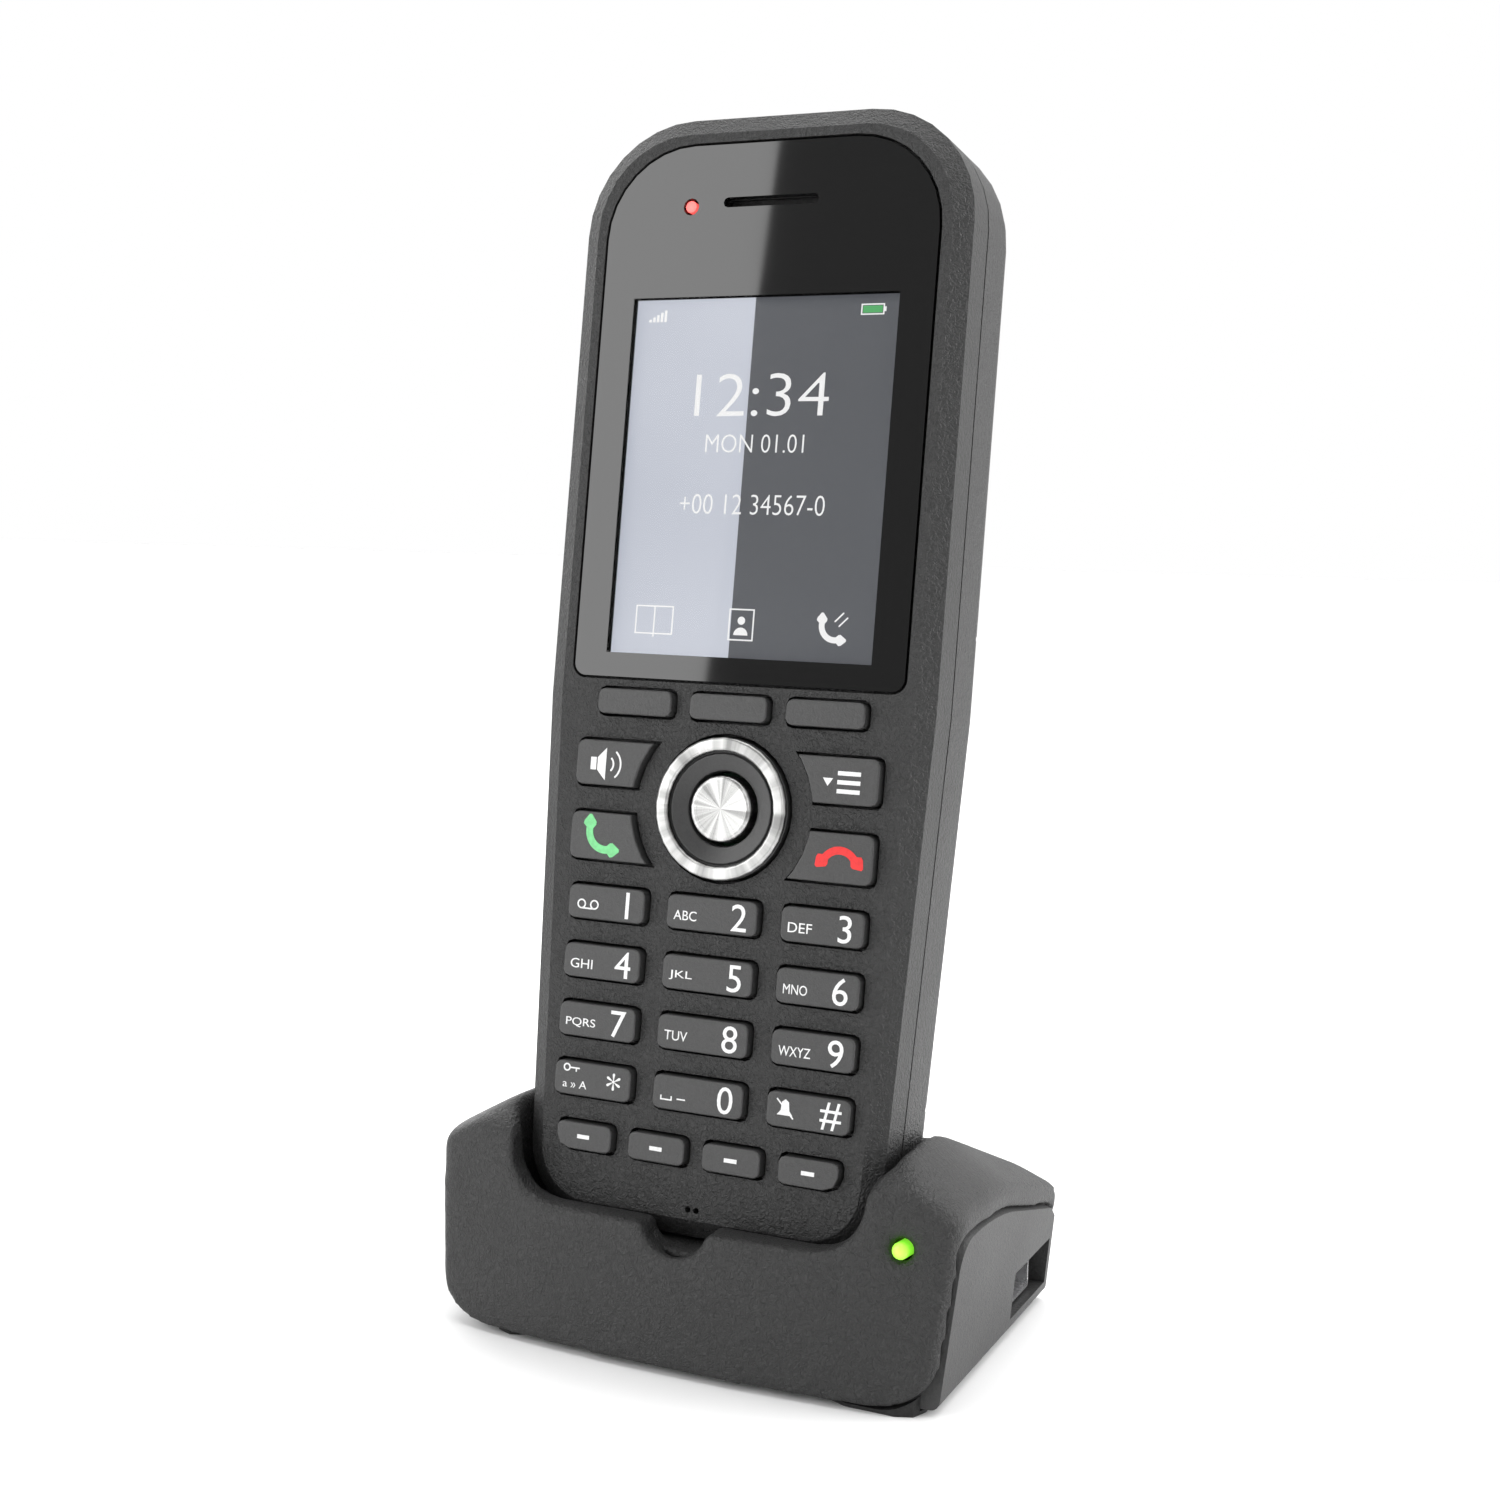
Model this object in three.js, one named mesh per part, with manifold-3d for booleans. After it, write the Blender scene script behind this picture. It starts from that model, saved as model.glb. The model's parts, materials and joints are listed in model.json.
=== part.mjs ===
// Cordless phone standing in its charging base.
// Millimetres, +Z up, the front faces -Y, the base stands on z = 0 and is centred on the origin.
// The handset is drawn flat in its own frame and leaned back as one group:
// x to the right, y up along the handset from its foot, z out of its front face.

import * as THREE from 'three';
import { mergeVertices } from 'three/addons/utils/BufferGeometryUtils.js';
import Module from 'manifold-3d';

const wasm = await Module();
wasm.setup();

// ---------------------------------------------------------------- driving dimensions

// handset casing
const handsetLength = 122.6;
const handsetDepth = 16;
const handsetHalfWidth = 23.05;
const footHalfWidth = 20.8; // the casing narrows below the waist
const waistFromTop = 64.6;
const topCornerRadius = 12.5;
const footCornerRadius = 8;
const chamferWidth = 2;
const chamferDepth = 1.3;
const backEdgeRadius = 4;
const seamDepth = 6; // from the front face back to the seam
const seamGap = 0.3;
const casingWall = 1.6;
const frontWall = 1.8;

// window and screen
const windowSideMargin = 3.35; // from the casing's side to the glass
const windowTopMargin = 3.3;
const windowFoot = 60.2;
const slotFromTop = 9.75; // earpiece slot
const windowThickness = 1;
const screenBorder = 3.85; // from the glass edge in to the lit screen
const screenFoot = 62.9;
const screenTopMargin = 20.1;
const moduleBorder = 1.9;
const moduleThickness = 2.3;

// keys
const keyRise = 0.9;
const keyTravel = 0.4;
const keyGap = 0.3; // between a key and its opening
const keyLip = 0.6;
const keyLipThickness = 0.7;
const keyCorner = 0.8;
const keyFieldMargin = 2.85; // from the casing's foot width to the outer keys
const columnGap = 2.15;
const centreKeyWidth = 11.4;
const softkeyGap = 1.6;
const softkeyCentreWidth = 9.84;
const softkeyHeight = 3.42;
const softkeyBelowWindow = 1.05;
const navBelowSoftkeys = 9.2;
const cornerKeyRadius = 10.5; // hollow sides that follow the navigation ring
const cornerKeyTop = 6.8; // above the ring's centre
const cornerKeyGapTop = 1.2;
const cornerKeyGapFoot = -1.2;
const cornerKeyFoot = -7.05;
const digitTop = 37.2;
const digitPitch = 6.52;
const digitHeight = 4.33;
const functionTop = 11;
const functionHeight = 3.6;
const functionGap = 1.5;
const functionOuterMargin = 0.75;
const functionCorner = 1.8;

// navigation ring
const rockerRadius = 7.8;
const rockerFlange = 0.8;
const rockerHole = 4.1;
const rockerGap = 0.35;
const ringInnerRadius = 6.3;
const okRadius = 3.6;

// inside the handset
const boardDepth = 4.4; // front of the main board below the front face
const boardThickness = 1;
const trayDepth = 8.2; // front of the battery tray
const trayThickness = 1;
const doorFoot = 15;
const doorTop = 67.5;
const doorDepth = 13; // the door's rim below the front face
const packSideGap = 3;
const screwHeadRadius = 1.9;

// fit
const clearance = 0.3;

// base
const lean = THREE.MathUtils.degToRad(7.5);
const footHeight = 0.7;
const pocketFloorHeight = 12.4; // handset's front foot edge above the base's underside
const pocketSideGap = 1.2;
const pocketFrontGap = 0.7;
const pocketBackGap = 1.2;
const pocketWall = 1.5;
const frontWallDistance = 5.94; // from the base's front foot edge back to the handset's foot
const rearBody = 19.2; // solid body behind the handset's foot
const shoulderWidth = 7.1; // from the pocket out to the base's side at the floor
const sideDraft = 0.085; // the sides widen upwards by this much per millimetre
const frontSlope = 0.111; // the front leans back by this much per millimetre
const frontBowRadius = 200;
const frontChamferWidth = 1.2;
const frontChamferDepth = 1.5;
const frontCornerRadius = 7; // rounded lower corners of the front
const archHeight = 19.2; // top edge of the sides
const archFall = 0.29; // the edge falls by this much per millimetre towards the back
const archBend = 16.9; // from the front back to where it starts to fall
const archBendRadius = 50;
const archFrontRadius = 6;
const slotFrontRadius = 3.5; // front corner of the slot below the cover's rim
const shoulderSlope = 0.58; // from the side edge up to the pocket
const shoulderRise = 0.8;
const shoulderChamferSlope = 1.73;
const crestFront = 25.1;
const crestFrontDistance = 4;
const crestFrontSlope = 0.24; // the front leans back faster just below the crest
const crestBack = 23.9;
const crestBackDistance = 19.8;
const crestRadius = 8;
const rearBendHeight = 16.8;
const rearBendDistance = 35.5;
const rearEdgeHeight = 12.5;
const coverSideWall = 3.55; // from the front's middle back to the side panels
const coverRimHeight = 1.9;
const baseWall = 1.8;
const baseFloor = 1.5;
const baseCornerRadius = 1;
const rimCut = 14.8; // lowest edge of the front opening
const rimHalfWidth = 19.9;
const rimCorner = 5.5;
const notchRadius = 3.9;
const lightRadius = 0.9;
const lightHeight = 16.2;
const lightFromSide = 5.9;
const contactSpacing = 14;
const contactDepth = 9.2;
const pinRadius = 0.8;
const pinTravel = 1;
const screwLeft = 14;
const screwRight = 5.5;
const screwFromBack = 8;
const screwBossRadius = 2.8;
const screwSeatHeight = 5; // top of the base's screw posts
const socketWidth = 13.1;
const socketHeight = 5.7;
const socketLength = 12;
const socketWall = 0.35;
const socketInset = 1; // mouth of the socket behind the side panel
const socketFromBack = 3.9;

// ---------------------------------------------------------------- derived places

const keyTop = keyRise;
const lipTop = -(frontWall + clearance);
const lipFoot = lipTop - keyLipThickness;
const matTop = lipFoot - keyTravel - 0.15;
const waistHeight = handsetLength - waistFromTop;
const keyFieldHalf = footHalfWidth - keyFieldMargin;
const windowHalf = handsetHalfWidth - windowSideMargin;
const windowTop = handsetLength - windowTopMargin;
const screenHalf = windowHalf - screenBorder;
const screenTop = handsetLength - screenTopMargin;
const softkeyTop = windowFoot - softkeyBelowWindow;
const navHeight = softkeyTop - softkeyHeight - navBelowSoftkeys;

const pocketHalf = footHalfWidth + 0.5 + pocketSideGap;
const pocketDepth = handsetDepth + pocketFrontGap + pocketBackGap;
const baseHalf = pocketHalf + shoulderWidth;
const baseDepth = frontWallDistance + handsetDepth + rearBody;
const baseFront = -baseDepth / 2;
const baseBack = baseDepth / 2;
const handsetFoot = new THREE.Vector3(0, baseFront + frontWallDistance, footHeight + pocketFloorHeight);
const leanTurn = Math.PI / 2 - lean;

// ---------------------------------------------------------------- shape helpers

// A closed outline from corners [x, y, radius], listed counter-clockwise.
function outline(corners) {
  const shape = new THREE.Shape();
  const count = corners.length;
  corners.forEach(([x, y, radius], i) => {
    const corner = new THREE.Vector2(x, y);
    const before = new THREE.Vector2(...corners[(i + count - 1) % count].slice(0, 2));
    const after = new THREE.Vector2(...corners[(i + 1) % count].slice(0, 2));
    const toBefore = before.sub(corner).normalize();
    const toAfter = after.sub(corner).normalize();
    if (!(radius > 0)) {
      if (i === 0) shape.moveTo(x, y);
      else shape.lineTo(x, y);
      return;
    }
    const half = toBefore.angleTo(toAfter) / 2;
    const centre = toBefore.clone().add(toAfter).setLength(radius / Math.sin(half)).add(corner);
    const reach = radius / Math.tan(half);
    const start = toBefore.multiplyScalar(reach).add(corner);
    const end = toAfter.multiplyScalar(reach).add(corner);
    const from = start.clone().sub(centre).angle();
    const to = end.clone().sub(centre).angle();
    const turnsLeft = start.clone().sub(centre).cross(end.clone().sub(centre)) > 0;
    if (i === 0) shape.moveTo(start.x, start.y);
    else shape.lineTo(start.x, start.y);
    shape.absarc(centre.x, centre.y, radius, from, to, !turnsLeft);
  });
  shape.closePath();
  return shape;
}

function rectangle(left, foot, right, top, radius = 0) {
  return outline([[left, foot, radius], [right, foot, radius], [right, top, radius], [left, top, radius]]);
}

function solid(geometry) {
  const bare = geometry.clone();
  bare.deleteAttribute('normal');
  bare.deleteAttribute('uv');
  const merged = mergeVertices(bare);
  const mesh = new wasm.Mesh({
    numProp: 3,
    vertProperties: new Float32Array(merged.attributes.position.array),
    triVerts: new Uint32Array(merged.index.array),
  });
  return new wasm.Manifold(mesh);
}

function geometryOf(body) {
  const mesh = body.getMesh();
  const geometry = new THREE.BufferGeometry();
  geometry.setAttribute('position', new THREE.BufferAttribute(mesh.vertProperties, 3));
  geometry.setIndex(new THREE.BufferAttribute(mesh.triVerts, 1));
  geometry.computeVertexNormals();
  return geometry;
}

// A slab drawn in x and y, from z = low to z = high.
function slab(shape, low, high, steps = 2) {
  const geometry = new THREE.ExtrudeGeometry(shape, {
    depth: high - low,
    bevelEnabled: false,
    curveSegments: steps,
  });
  return geometry.translate(0, 0, low);
}

// A prism drawn in x and z, from y = low to y = high.
function frontPrism(shape, low, high, steps = 2) {
  return slab(shape, 0, high - low, steps).rotateX(Math.PI / 2).translate(0, high, 0);
}

// A prism drawn in y and z, from x = low to x = high.
function sidePrism(shape, low, high, steps = 2) {
  const turn = new THREE.Matrix4().set(0, 0, 1, 0, 1, 0, 0, 0, 0, 1, 0, 0, 0, 0, 0, 1);
  return slab(shape, low, high, steps).applyMatrix4(turn);
}

function box(left, right, low, high, foot, top) {
  const geometry = new THREE.BoxGeometry(right - left, high - low, top - foot);
  return solid(geometry.translate((left + right) / 2, (low + high) / 2, (foot + top) / 2));
}

// A round post along z.
function post(x, y, foot, top, radius, sides = 16) {
  const geometry = new THREE.CylinderGeometry(radius, radius, top - foot, sides);
  return solid(geometry.rotateX(Math.PI / 2).translate(x, y, (foot + top) / 2));
}

function subtractAll(body, cutters) {
  return cutters.reduce((left, cutter) => left.subtract(cutter), body);
}

function toWorld(body) {
  const place = new THREE.Matrix4().makeRotationX(leanTurn).setPosition(handsetFoot);
  return body.transform(place.elements);
}

// ---------------------------------------------------------------- materials

const finishes = {
  casing: { color: 0x2e2f31, roughness: 0.62, metalness: 0 },
  key: { color: 0x3a3b3d, roughness: 0.45, metalness: 0 },
  glass: { color: 0x0a0a0b, roughness: 0.06, metalness: 0 },
  silver: { color: 0xb9bbbe, roughness: 0.28, metalness: 1 },
  screen: { color: 0xa9afbd, roughness: 0.3, metalness: 0 },
  board: { color: 0x1f5a38, roughness: 0.5, metalness: 0 },
  silicone: { color: 0x8d8f92, roughness: 0.75, metalness: 0 },
  metal: { color: 0xc2b280, roughness: 0.3, metalness: 1 },
  steel: { color: 0xa9abad, roughness: 0.35, metalness: 1 },
  speaker: { color: 0x18191a, roughness: 0.55, metalness: 0 },
  battery: { color: 0x4a5560, roughness: 0.5, metalness: 0 },
  redLight: { color: 0xf05a5f, roughness: 0.3, metalness: 0 },
  greenLight: { color: 0x8ee62e, roughness: 0.3, metalness: 0 },
  rubber: { color: 0x0e0e0f, roughness: 0.9, metalness: 0 },
  tongue: { color: 0xc9cbcc, roughness: 0.5, metalness: 0 },
};

function part(name, body, finish) {
  const geometry = body instanceof THREE.BufferGeometry ? body : geometryOf(body);
  const mesh = new THREE.Mesh(geometry, new THREE.MeshStandardMaterial(finishes[finish]));
  mesh.name = name;
  return mesh;
}

// ---------------------------------------------------------------- handset casing

// The handset's outline pulled in by a distance all round.
function handsetOutline(inset) {
  const foot = footHalfWidth - inset;
  const waist = handsetHalfWidth - inset;
  const top = handsetLength - inset;
  const footRadius = footCornerRadius - inset;
  const topRadius = topCornerRadius - inset;
  return outline([
    [-foot, inset, footRadius],
    [foot, inset, footRadius],
    [waist, waistHeight, 0],
    [waist, top, topRadius],
    [-waist, top, topRadius],
    [-waist, waistHeight, 0],
  ]);
}

// The full casing from the front face back, with an edge that is chamfered or rounded.
function casingBlock(edgeWidth, edgeDepth, edgeSteps) {
  const body = 2 * handsetDepth;
  const geometry = new THREE.ExtrudeGeometry(handsetOutline(0), {
    depth: body,
    bevelEnabled: true,
    bevelThickness: edgeDepth,
    bevelSize: edgeWidth,
    bevelOffset: -edgeWidth,
    bevelSegments: edgeSteps,
    curveSegments: 4,
  });
  return { geometry, reach: body + edgeDepth };
}

function frontCasing() {
  const { geometry, reach } = casingBlock(chamferWidth, chamferDepth, 1);
  const block = solid(geometry.translate(0, 0, -reach));
  return block.intersect(box(-50, 50, -10, handsetLength + 10, -seamDepth + seamGap / 2, 1));
}

function rearCasing() {
  const { geometry, reach } = casingBlock(backEdgeRadius, backEdgeRadius, 3);
  const block = solid(geometry.translate(0, 0, backEdgeRadius - handsetDepth));
  return block.intersect(box(-50, 50, -10, handsetLength + 10, -handsetDepth - 1, -seamDepth - seamGap / 2))
    .intersect(box(-50, 50, -10, handsetLength + 10, -reach, reach));
}

const windowOutline = (grow) => {
  const side = windowHalf + grow;
  const top = topCornerRadius - 2.4 + grow;
  return outline([
    [-side, windowFoot - grow, 1.4 + grow],
    [side, windowFoot - grow, 1.4 + grow],
    [side, windowTop + grow, top],
    [-side, windowTop + grow, top],
  ]);
};

const slotHeight = handsetLength - slotFromTop;
const earSlot = (grow) => rectangle(
  -5.65 - grow, slotHeight - 0.55 - grow, 5.65 + grow, slotHeight + 0.55 + grow, 0.5 + grow);
const redLightPlace = [-9.6, slotHeight - 0.3];
const redLightRadius = 0.65;
const micHeight = 3.1;

// ---------------------------------------------------------------- keys

// Every key as its name and the outline of its opening.
function keyOutlines() {
  const keys = [];
  const half = centreKeyWidth / 2;
  const columns = [
    [-keyFieldHalf, -half - columnGap],
    [-half, half],
    [half + columnGap, keyFieldHalf],
  ];
  const names = [['1', '2', '3'], ['4', '5', '6'], ['7', '8', '9'], ['star', '0', 'hash']];
  names.forEach((row, r) => row.forEach((name, c) => {
    const top = digitTop - r * digitPitch;
    const [left, right] = columns[c];
    keys.push([`key_${name}`, rectangle(left, top - digitHeight, right, top, keyCorner)]);
  }));

  const softHalf = softkeyCentreWidth / 2;
  const softOuter = keyFieldHalf - 1.7;
  const softColumns = {
    softkey_left: [-softOuter, -softHalf - softkeyGap],
    softkey_middle: [-softHalf, softHalf],
    softkey_right: [softHalf + softkeyGap, softOuter],
  };
  for (const [name, [left, right]] of Object.entries(softColumns)) {
    keys.push([name, rectangle(left, softkeyTop - softkeyHeight, right, softkeyTop, keyCorner)]);
  }

  const outer = keyFieldHalf - functionOuterMargin;
  const width = (2 * outer - 3 * functionGap) / 4;
  for (let i = 0; i < 4; i += 1) {
    const left = -outer + i * (width + functionGap);
    const foot = functionTop - functionHeight;
    const leftRadius = i === 0 ? functionCorner : keyCorner;
    const rightRadius = i === 3 ? functionCorner : keyCorner;
    keys.push([`function_key_${i + 1}`, outline([
      [left, foot, leftRadius],
      [left + width, foot, rightRadius],
      [left + width, functionTop, keyCorner],
      [left, functionTop, keyCorner],
    ])]);
  }
  return keys;
}

// The four keys round the ring, as rectangles that the ring's circle cuts later.
function cornerKeyRectangles() {
  const outer = keyFieldHalf + 0.4;
  const inner = cornerKeyRadius * 0.55;
  const upper = [navHeight + cornerKeyGapTop, navHeight + cornerKeyTop];
  const lower = [navHeight + cornerKeyFoot, navHeight + cornerKeyGapFoot];
  return [
    ['speaker_key', [-outer, upper[0], -inner, upper[1]]],
    ['menu_key', [inner, upper[0], outer, upper[1]]],
    ['talk_key', [-outer, lower[0], -inner, lower[1]]],
    ['end_key', [inner, lower[0], outer, lower[1]]],
  ];
}

function slabSolid(shape, low, high, steps = 1) {
  return solid(slab(shape, low, high, steps));
}

function grownRectangle([left, foot, right, top], grow, radius) {
  return rectangle(left - grow, foot - grow, right + grow, top + grow, radius);
}

function insetShape(shape, inset) {
  const points = shape.extractPoints(1).shape;
  const box2 = new THREE.Box2().setFromPoints(points);
  const centre = box2.getCenter(new THREE.Vector2());
  const size = box2.getSize(new THREE.Vector2());
  const scale = new THREE.Vector2((size.x - 2 * inset) / size.x, (size.y - 2 * inset) / size.y);
  return new THREE.Shape(points.map((p) => p.sub(centre).multiply(scale).add(centre)));
}

function plainKey(shape) {
  const cap = slabSolid(insetShape(shape, keyGap), lipTop - 0.1, keyTop);
  const lip = slabSolid(insetShape(shape, -keyLip), lipFoot, lipTop);
  return cap.add(lip);
}

function ringCylinder(radius, low, high) {
  return post(0, navHeight, low, high, radius, 32);
}

function cornerKey(rect) {
  const cap = slabSolid(grownRectangle(rect, -keyGap, keyCorner), lipTop - 0.1, keyTop)
    .subtract(ringCylinder(cornerKeyRadius + keyGap, lipTop - 1, keyTop + 1));
  const lip = slabSolid(grownRectangle(rect, keyLip, keyCorner), lipFoot, lipTop)
    .subtract(ringCylinder(cornerKeyRadius - keyLip, lipFoot - 1, lipTop + 1));
  return cap.add(lip);
}

// ---------------------------------------------------------------- front shell

function frontShell() {
  const inner = slabSolid(handsetOutline(casingWall), -seamDepth - 1, -frontWall, 4);
  const windowSeat = slabSolid(windowOutline(clearance), -windowThickness - clearance, 1, 4);
  const screenOpening = box(
    -screenHalf - moduleBorder - clearance, screenHalf + moduleBorder + clearance,
    screenFoot - moduleBorder - clearance, screenTop + moduleBorder + clearance, -frontWall - 1, 1);
  const openings = keyOutlines().map(([, shape]) => slabSolid(shape, -frontWall - 1, 1));
  const cornerOpenings = cornerKeyRectangles().map(([, rect]) => slabSolid(
    grownRectangle(rect, 0, keyCorner), -frontWall - 1, 1)
    .subtract(ringCylinder(cornerKeyRadius, -frontWall - 2, 2)));
  return subtractAll(frontCasing(), [
    inner,
    windowSeat,
    screenOpening,
    ...openings,
    ...cornerOpenings,
    ringCylinder(rockerRadius + rockerGap, -frontWall - 1, 1),
    slabSolid(earSlot(0), -frontWall - 1, 1),
    post(...redLightPlace, -frontWall - 1, 1, redLightRadius + clearance, 12),
    post(-0.5, micHeight, -frontWall - 1, 1, 0.35, 8),
    post(0.5, micHeight, -frontWall - 1, 1, 0.35, 8),
  ]);
}

// ---------------------------------------------------------------- rear shell and battery door

const bayHalf = footHalfWidth - packSideGap;
const bayFoot = doorFoot - 0.5;
const bayTop = doorTop - 2;
const hookPlaces = [-9, 9];
const screwPlaces = [-12, 12];

function hook(x, grow) {
  return box(x - 2 - grow, x + 2 + grow, doorFoot - 1.1 - grow, doorFoot + 2,
    -doorDepth - 1.8 - grow, -doorDepth - 0.6 + grow);
}

function rearShell() {
  const back = -handsetDepth + casingWall;
  const front = slabSolid(handsetOutline(casingWall), -trayDepth, -seamDepth + 1, 4);
  const hollow = slabSolid(handsetOutline(casingWall), back, -seamDepth + 1, 4);
  const upper = hollow.intersect(box(-50, 50, doorTop + 1.5, handsetLength, back - 1, 0));
  const foot = hollow.intersect(box(-50, 50, 0, doorFoot - 2.6, back - 1, 0));
  const bay = box(-bayHalf, bayHalf, bayFoot, bayTop, -handsetDepth - 2, -trayDepth - trayThickness);
  const doorRoom = box(-50, 50, doorFoot, doorTop, -handsetDepth - 2, -doorDepth);
  const soundSlots = [-2.4, 0, 2.4].map((step) => box(
    -5, 5, handsetLength - 28 + step, handsetLength - 26.9 + step, -handsetDepth - 1, back + 1));
  const contactHoles = [-1, 1].map((side) => contactBlock(side, clearance));
  const hookSlots = hookPlaces.map((x) => hook(x, clearance + 0.1));
  const screwHoles = screwPlaces.flatMap((x) => [
    post(x, bayTop - 4, -trayDepth - 2, -trayDepth + 1, 1.3, 12),
  ]);
  return subtractAll(rearCasing(), [
    front, upper, foot, bay, doorRoom, ...soundSlots, ...contactHoles, ...hookSlots, ...screwHoles,
  ]);
}

function batteryDoor() {
  const rim = -doorDepth - clearance;
  const room = box(-50, 50, doorFoot + clearance, doorTop - clearance, -handsetDepth - 2, rim);
  const hollow = slabSolid(handsetOutline(2.2), -handsetDepth + 1.2, rim + 1, 4)
    .intersect(box(-50, 50, doorFoot + 1.8, doorTop - 1.8, -handsetDepth, 0));
  const hooks = hookPlaces.map((x) => hook(x, 0).intersect(box(-50, 50, 0, doorFoot + 1.2, -50, 0)));
  const tongue = hooks.reduce((left, right) => left.add(right));
  return rearCasing().intersect(room).subtract(hollow).add(tongue);
}

// ---------------------------------------------------------------- inside the handset

function contactBlock(side, grow) {
  const x = side * contactSpacing / 2;
  return box(x - 1.4 - grow, x + 1.4 + grow, 0.1 - 2 * grow, 2 + grow,
    -contactDepth - 0.9 - grow, -contactDepth + 0.9 + grow);
}

function displayModule() {
  const top = -windowThickness - clearance;
  return box(-screenHalf - moduleBorder, screenHalf + moduleBorder,
    screenFoot - moduleBorder, screenTop + moduleBorder, top - moduleThickness, top);
}

function mainBoard() {
  return slabSolid(handsetOutline(casingWall + 0.6), -boardDepth - boardThickness, -boardDepth, 1);
}

function keypadMat() {
  const side = footHalfWidth - casingWall - 0.8;
  const foot = functionTop - functionHeight - keyLip - 1;
  const sheet = slabSolid(rectangle(-side, foot, side, screenFoot - moduleBorder - 0.4, 1.5), matTop - 0.6, matTop);
  return sheet.subtract(ringCylinder(rockerRadius + rockerFlange + 0.8, matTop - 2, matTop + 1));
}

// A turned piece about the ring's centre, from a closed profile of [radius, z].
function turned(profile, sides = 32) {
  const points = profile.map(([r, z]) => new THREE.Vector2(r, z));
  points.push(points[0].clone());
  const geometry = new THREE.LatheGeometry(points, sides).rotateX(Math.PI / 2);
  return solid(geometry.translate(0, navHeight, 0));
}

function rocker() {
  const flange = rockerRadius + rockerFlange;
  const flangeTop = -(frontWall + 0.45);
  return turned([
    [rockerHole, flangeTop - 0.5],
    [flange, flangeTop - 0.5],
    [flange, flangeTop],
    [rockerRadius, flangeTop],
    [rockerRadius, 0.35],
    [ringInnerRadius - clearance, 0.35],
    [ringInnerRadius - clearance, 0.7],
    [rockerHole, 0.1],
  ]);
}

function silverRing() {
  const foot = 0.35 + clearance;
  return turned([
    [ringInnerRadius, foot],
    [rockerRadius - 0.05, foot],
    [rockerRadius - 0.05, foot + 0.25],
    [rockerRadius - 0.3, foot + 0.45],
    [ringInnerRadius + 0.2, foot + 0.45],
    [ringInnerRadius, foot + 0.25],
  ]);
}

function okKey() {
  const points = [[0, -2.9], [okRadius, -2.9], [okRadius, 0.65], [okRadius - 0.3, 0.85], [0, 0.7]];
  const geometry = new THREE.LatheGeometry(points.map(([r, z]) => new THREE.Vector2(r, z)), 32);
  return solid(geometry.rotateX(Math.PI / 2).translate(0, navHeight, 0));
}

function navPad() {
  return turned([
    [rockerHole + 0.2, -3.55],
    [rockerRadius + 0.2, -3.55],
    [rockerRadius + 0.2, -3.15],
    [rockerHole + 0.2, -3.15],
  ]);
}

function caseScrew(x) {
  const y = bayTop - 4;
  const trayBack = -trayDepth - trayThickness;
  const head = post(x, y, trayBack - clearance - 1.2, trayBack - clearance, screwHeadRadius, 12);
  return head.add(post(x, y, trayBack - clearance - 0.5, -boardDepth - boardThickness - clearance, 1, 12));
}

function handsetParts() {
  const back = -handsetDepth + casingWall;
  const packTop = -trayDepth - trayThickness - clearance;
  const glass = subtractAll(slabSolid(windowOutline(0), -windowThickness, 0, 4), [
    slabSolid(earSlot(0), -2, 1),
    post(...redLightPlace, -2, 1, redLightRadius + clearance, 12),
  ]);
  const receiver = rectangle(-7, slotHeight - 3, 7, slotHeight + 3, 1);
  const parts = [
    part('front_shell', frontShell(), 'casing'),
    part('rear_shell', rearShell(), 'casing'),
    part('battery_door', batteryDoor(), 'casing'),
    part('display_window', glass, 'glass'),
    part('display_module', displayModule(), 'screen'),
    part('main_board', mainBoard(), 'board'),
    part('keypad_mat', keypadMat(), 'silicone'),
    part('nav_pad', navPad(), 'silicone'),
    part('nav_rocker', rocker(), 'key'),
    part('nav_ring', silverRing(), 'silver'),
    part('ok_key', okKey(), 'silver'),
    part('earpiece', slabSolid(receiver, -frontWall - 2.2, -frontWall - clearance), 'speaker'),
    part('status_light', post(...redLightPlace, -boardDepth + clearance, 0, redLightRadius, 12), 'redLight'),
    part('microphone', post(0, micHeight + 0.6, -frontWall - 2, -frontWall - clearance, 1.4, 12), 'speaker'),
    part('loudspeaker', post(0, handsetLength - 27.5, back + clearance, back + 4.3, 8, 24), 'speaker'),
    part('battery_pack', box(-bayHalf + 1, bayHalf - 1, bayFoot + 3.4, bayTop - 7.5,
      packTop - 4.6, packTop), 'battery'),
    part('battery_terminals', box(-5, 5, bayFoot + clearance, bayFoot + 2.6,
      packTop - 3.4, packTop), 'metal'),
    part('charge_contact_left', contactBlock(-1, 0), 'metal'),
    part('charge_contact_right', contactBlock(1, 0), 'metal'),
    part('case_screw_left', caseScrew(screwPlaces[0]), 'steel'),
    part('case_screw_right', caseScrew(screwPlaces[1]), 'steel'),
  ];
  for (const [name, shape] of keyOutlines()) parts.push(part(name, plainKey(shape), 'key'));
  for (const [name, rect] of cornerKeyRectangles()) parts.push(part(name, cornerKey(rect), 'key'));
  return parts;
}

// ---------------------------------------------------------------- base body

const tall = 60;

// Moves every point of a geometry by amounts that grow with x, y or z.
function sheared(geometry, xPerZ, yPerZ, zPerX) {
  const shear = new THREE.Matrix4().set(1, 0, xPerZ, 0, 0, 1, yPerZ, 0, zPerX, 0, 1, 0, 0, 0, 0, 1);
  return geometry.applyMatrix4(shear);
}

// Front view: sides that widen upwards and lower corners of given radii.
function sidesPrism(inset, floor, leftRadius, rightRadius) {
  const foot = baseHalf - inset;
  return solid(frontPrism(outline([
    [-foot, floor, leftRadius],
    [foot, floor, rightRadius],
    [foot + sideDraft * tall, floor + tall, 0],
    [-foot - sideDraft * tall, floor + tall, 0],
  ]), -tall, tall, 6));
}

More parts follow.
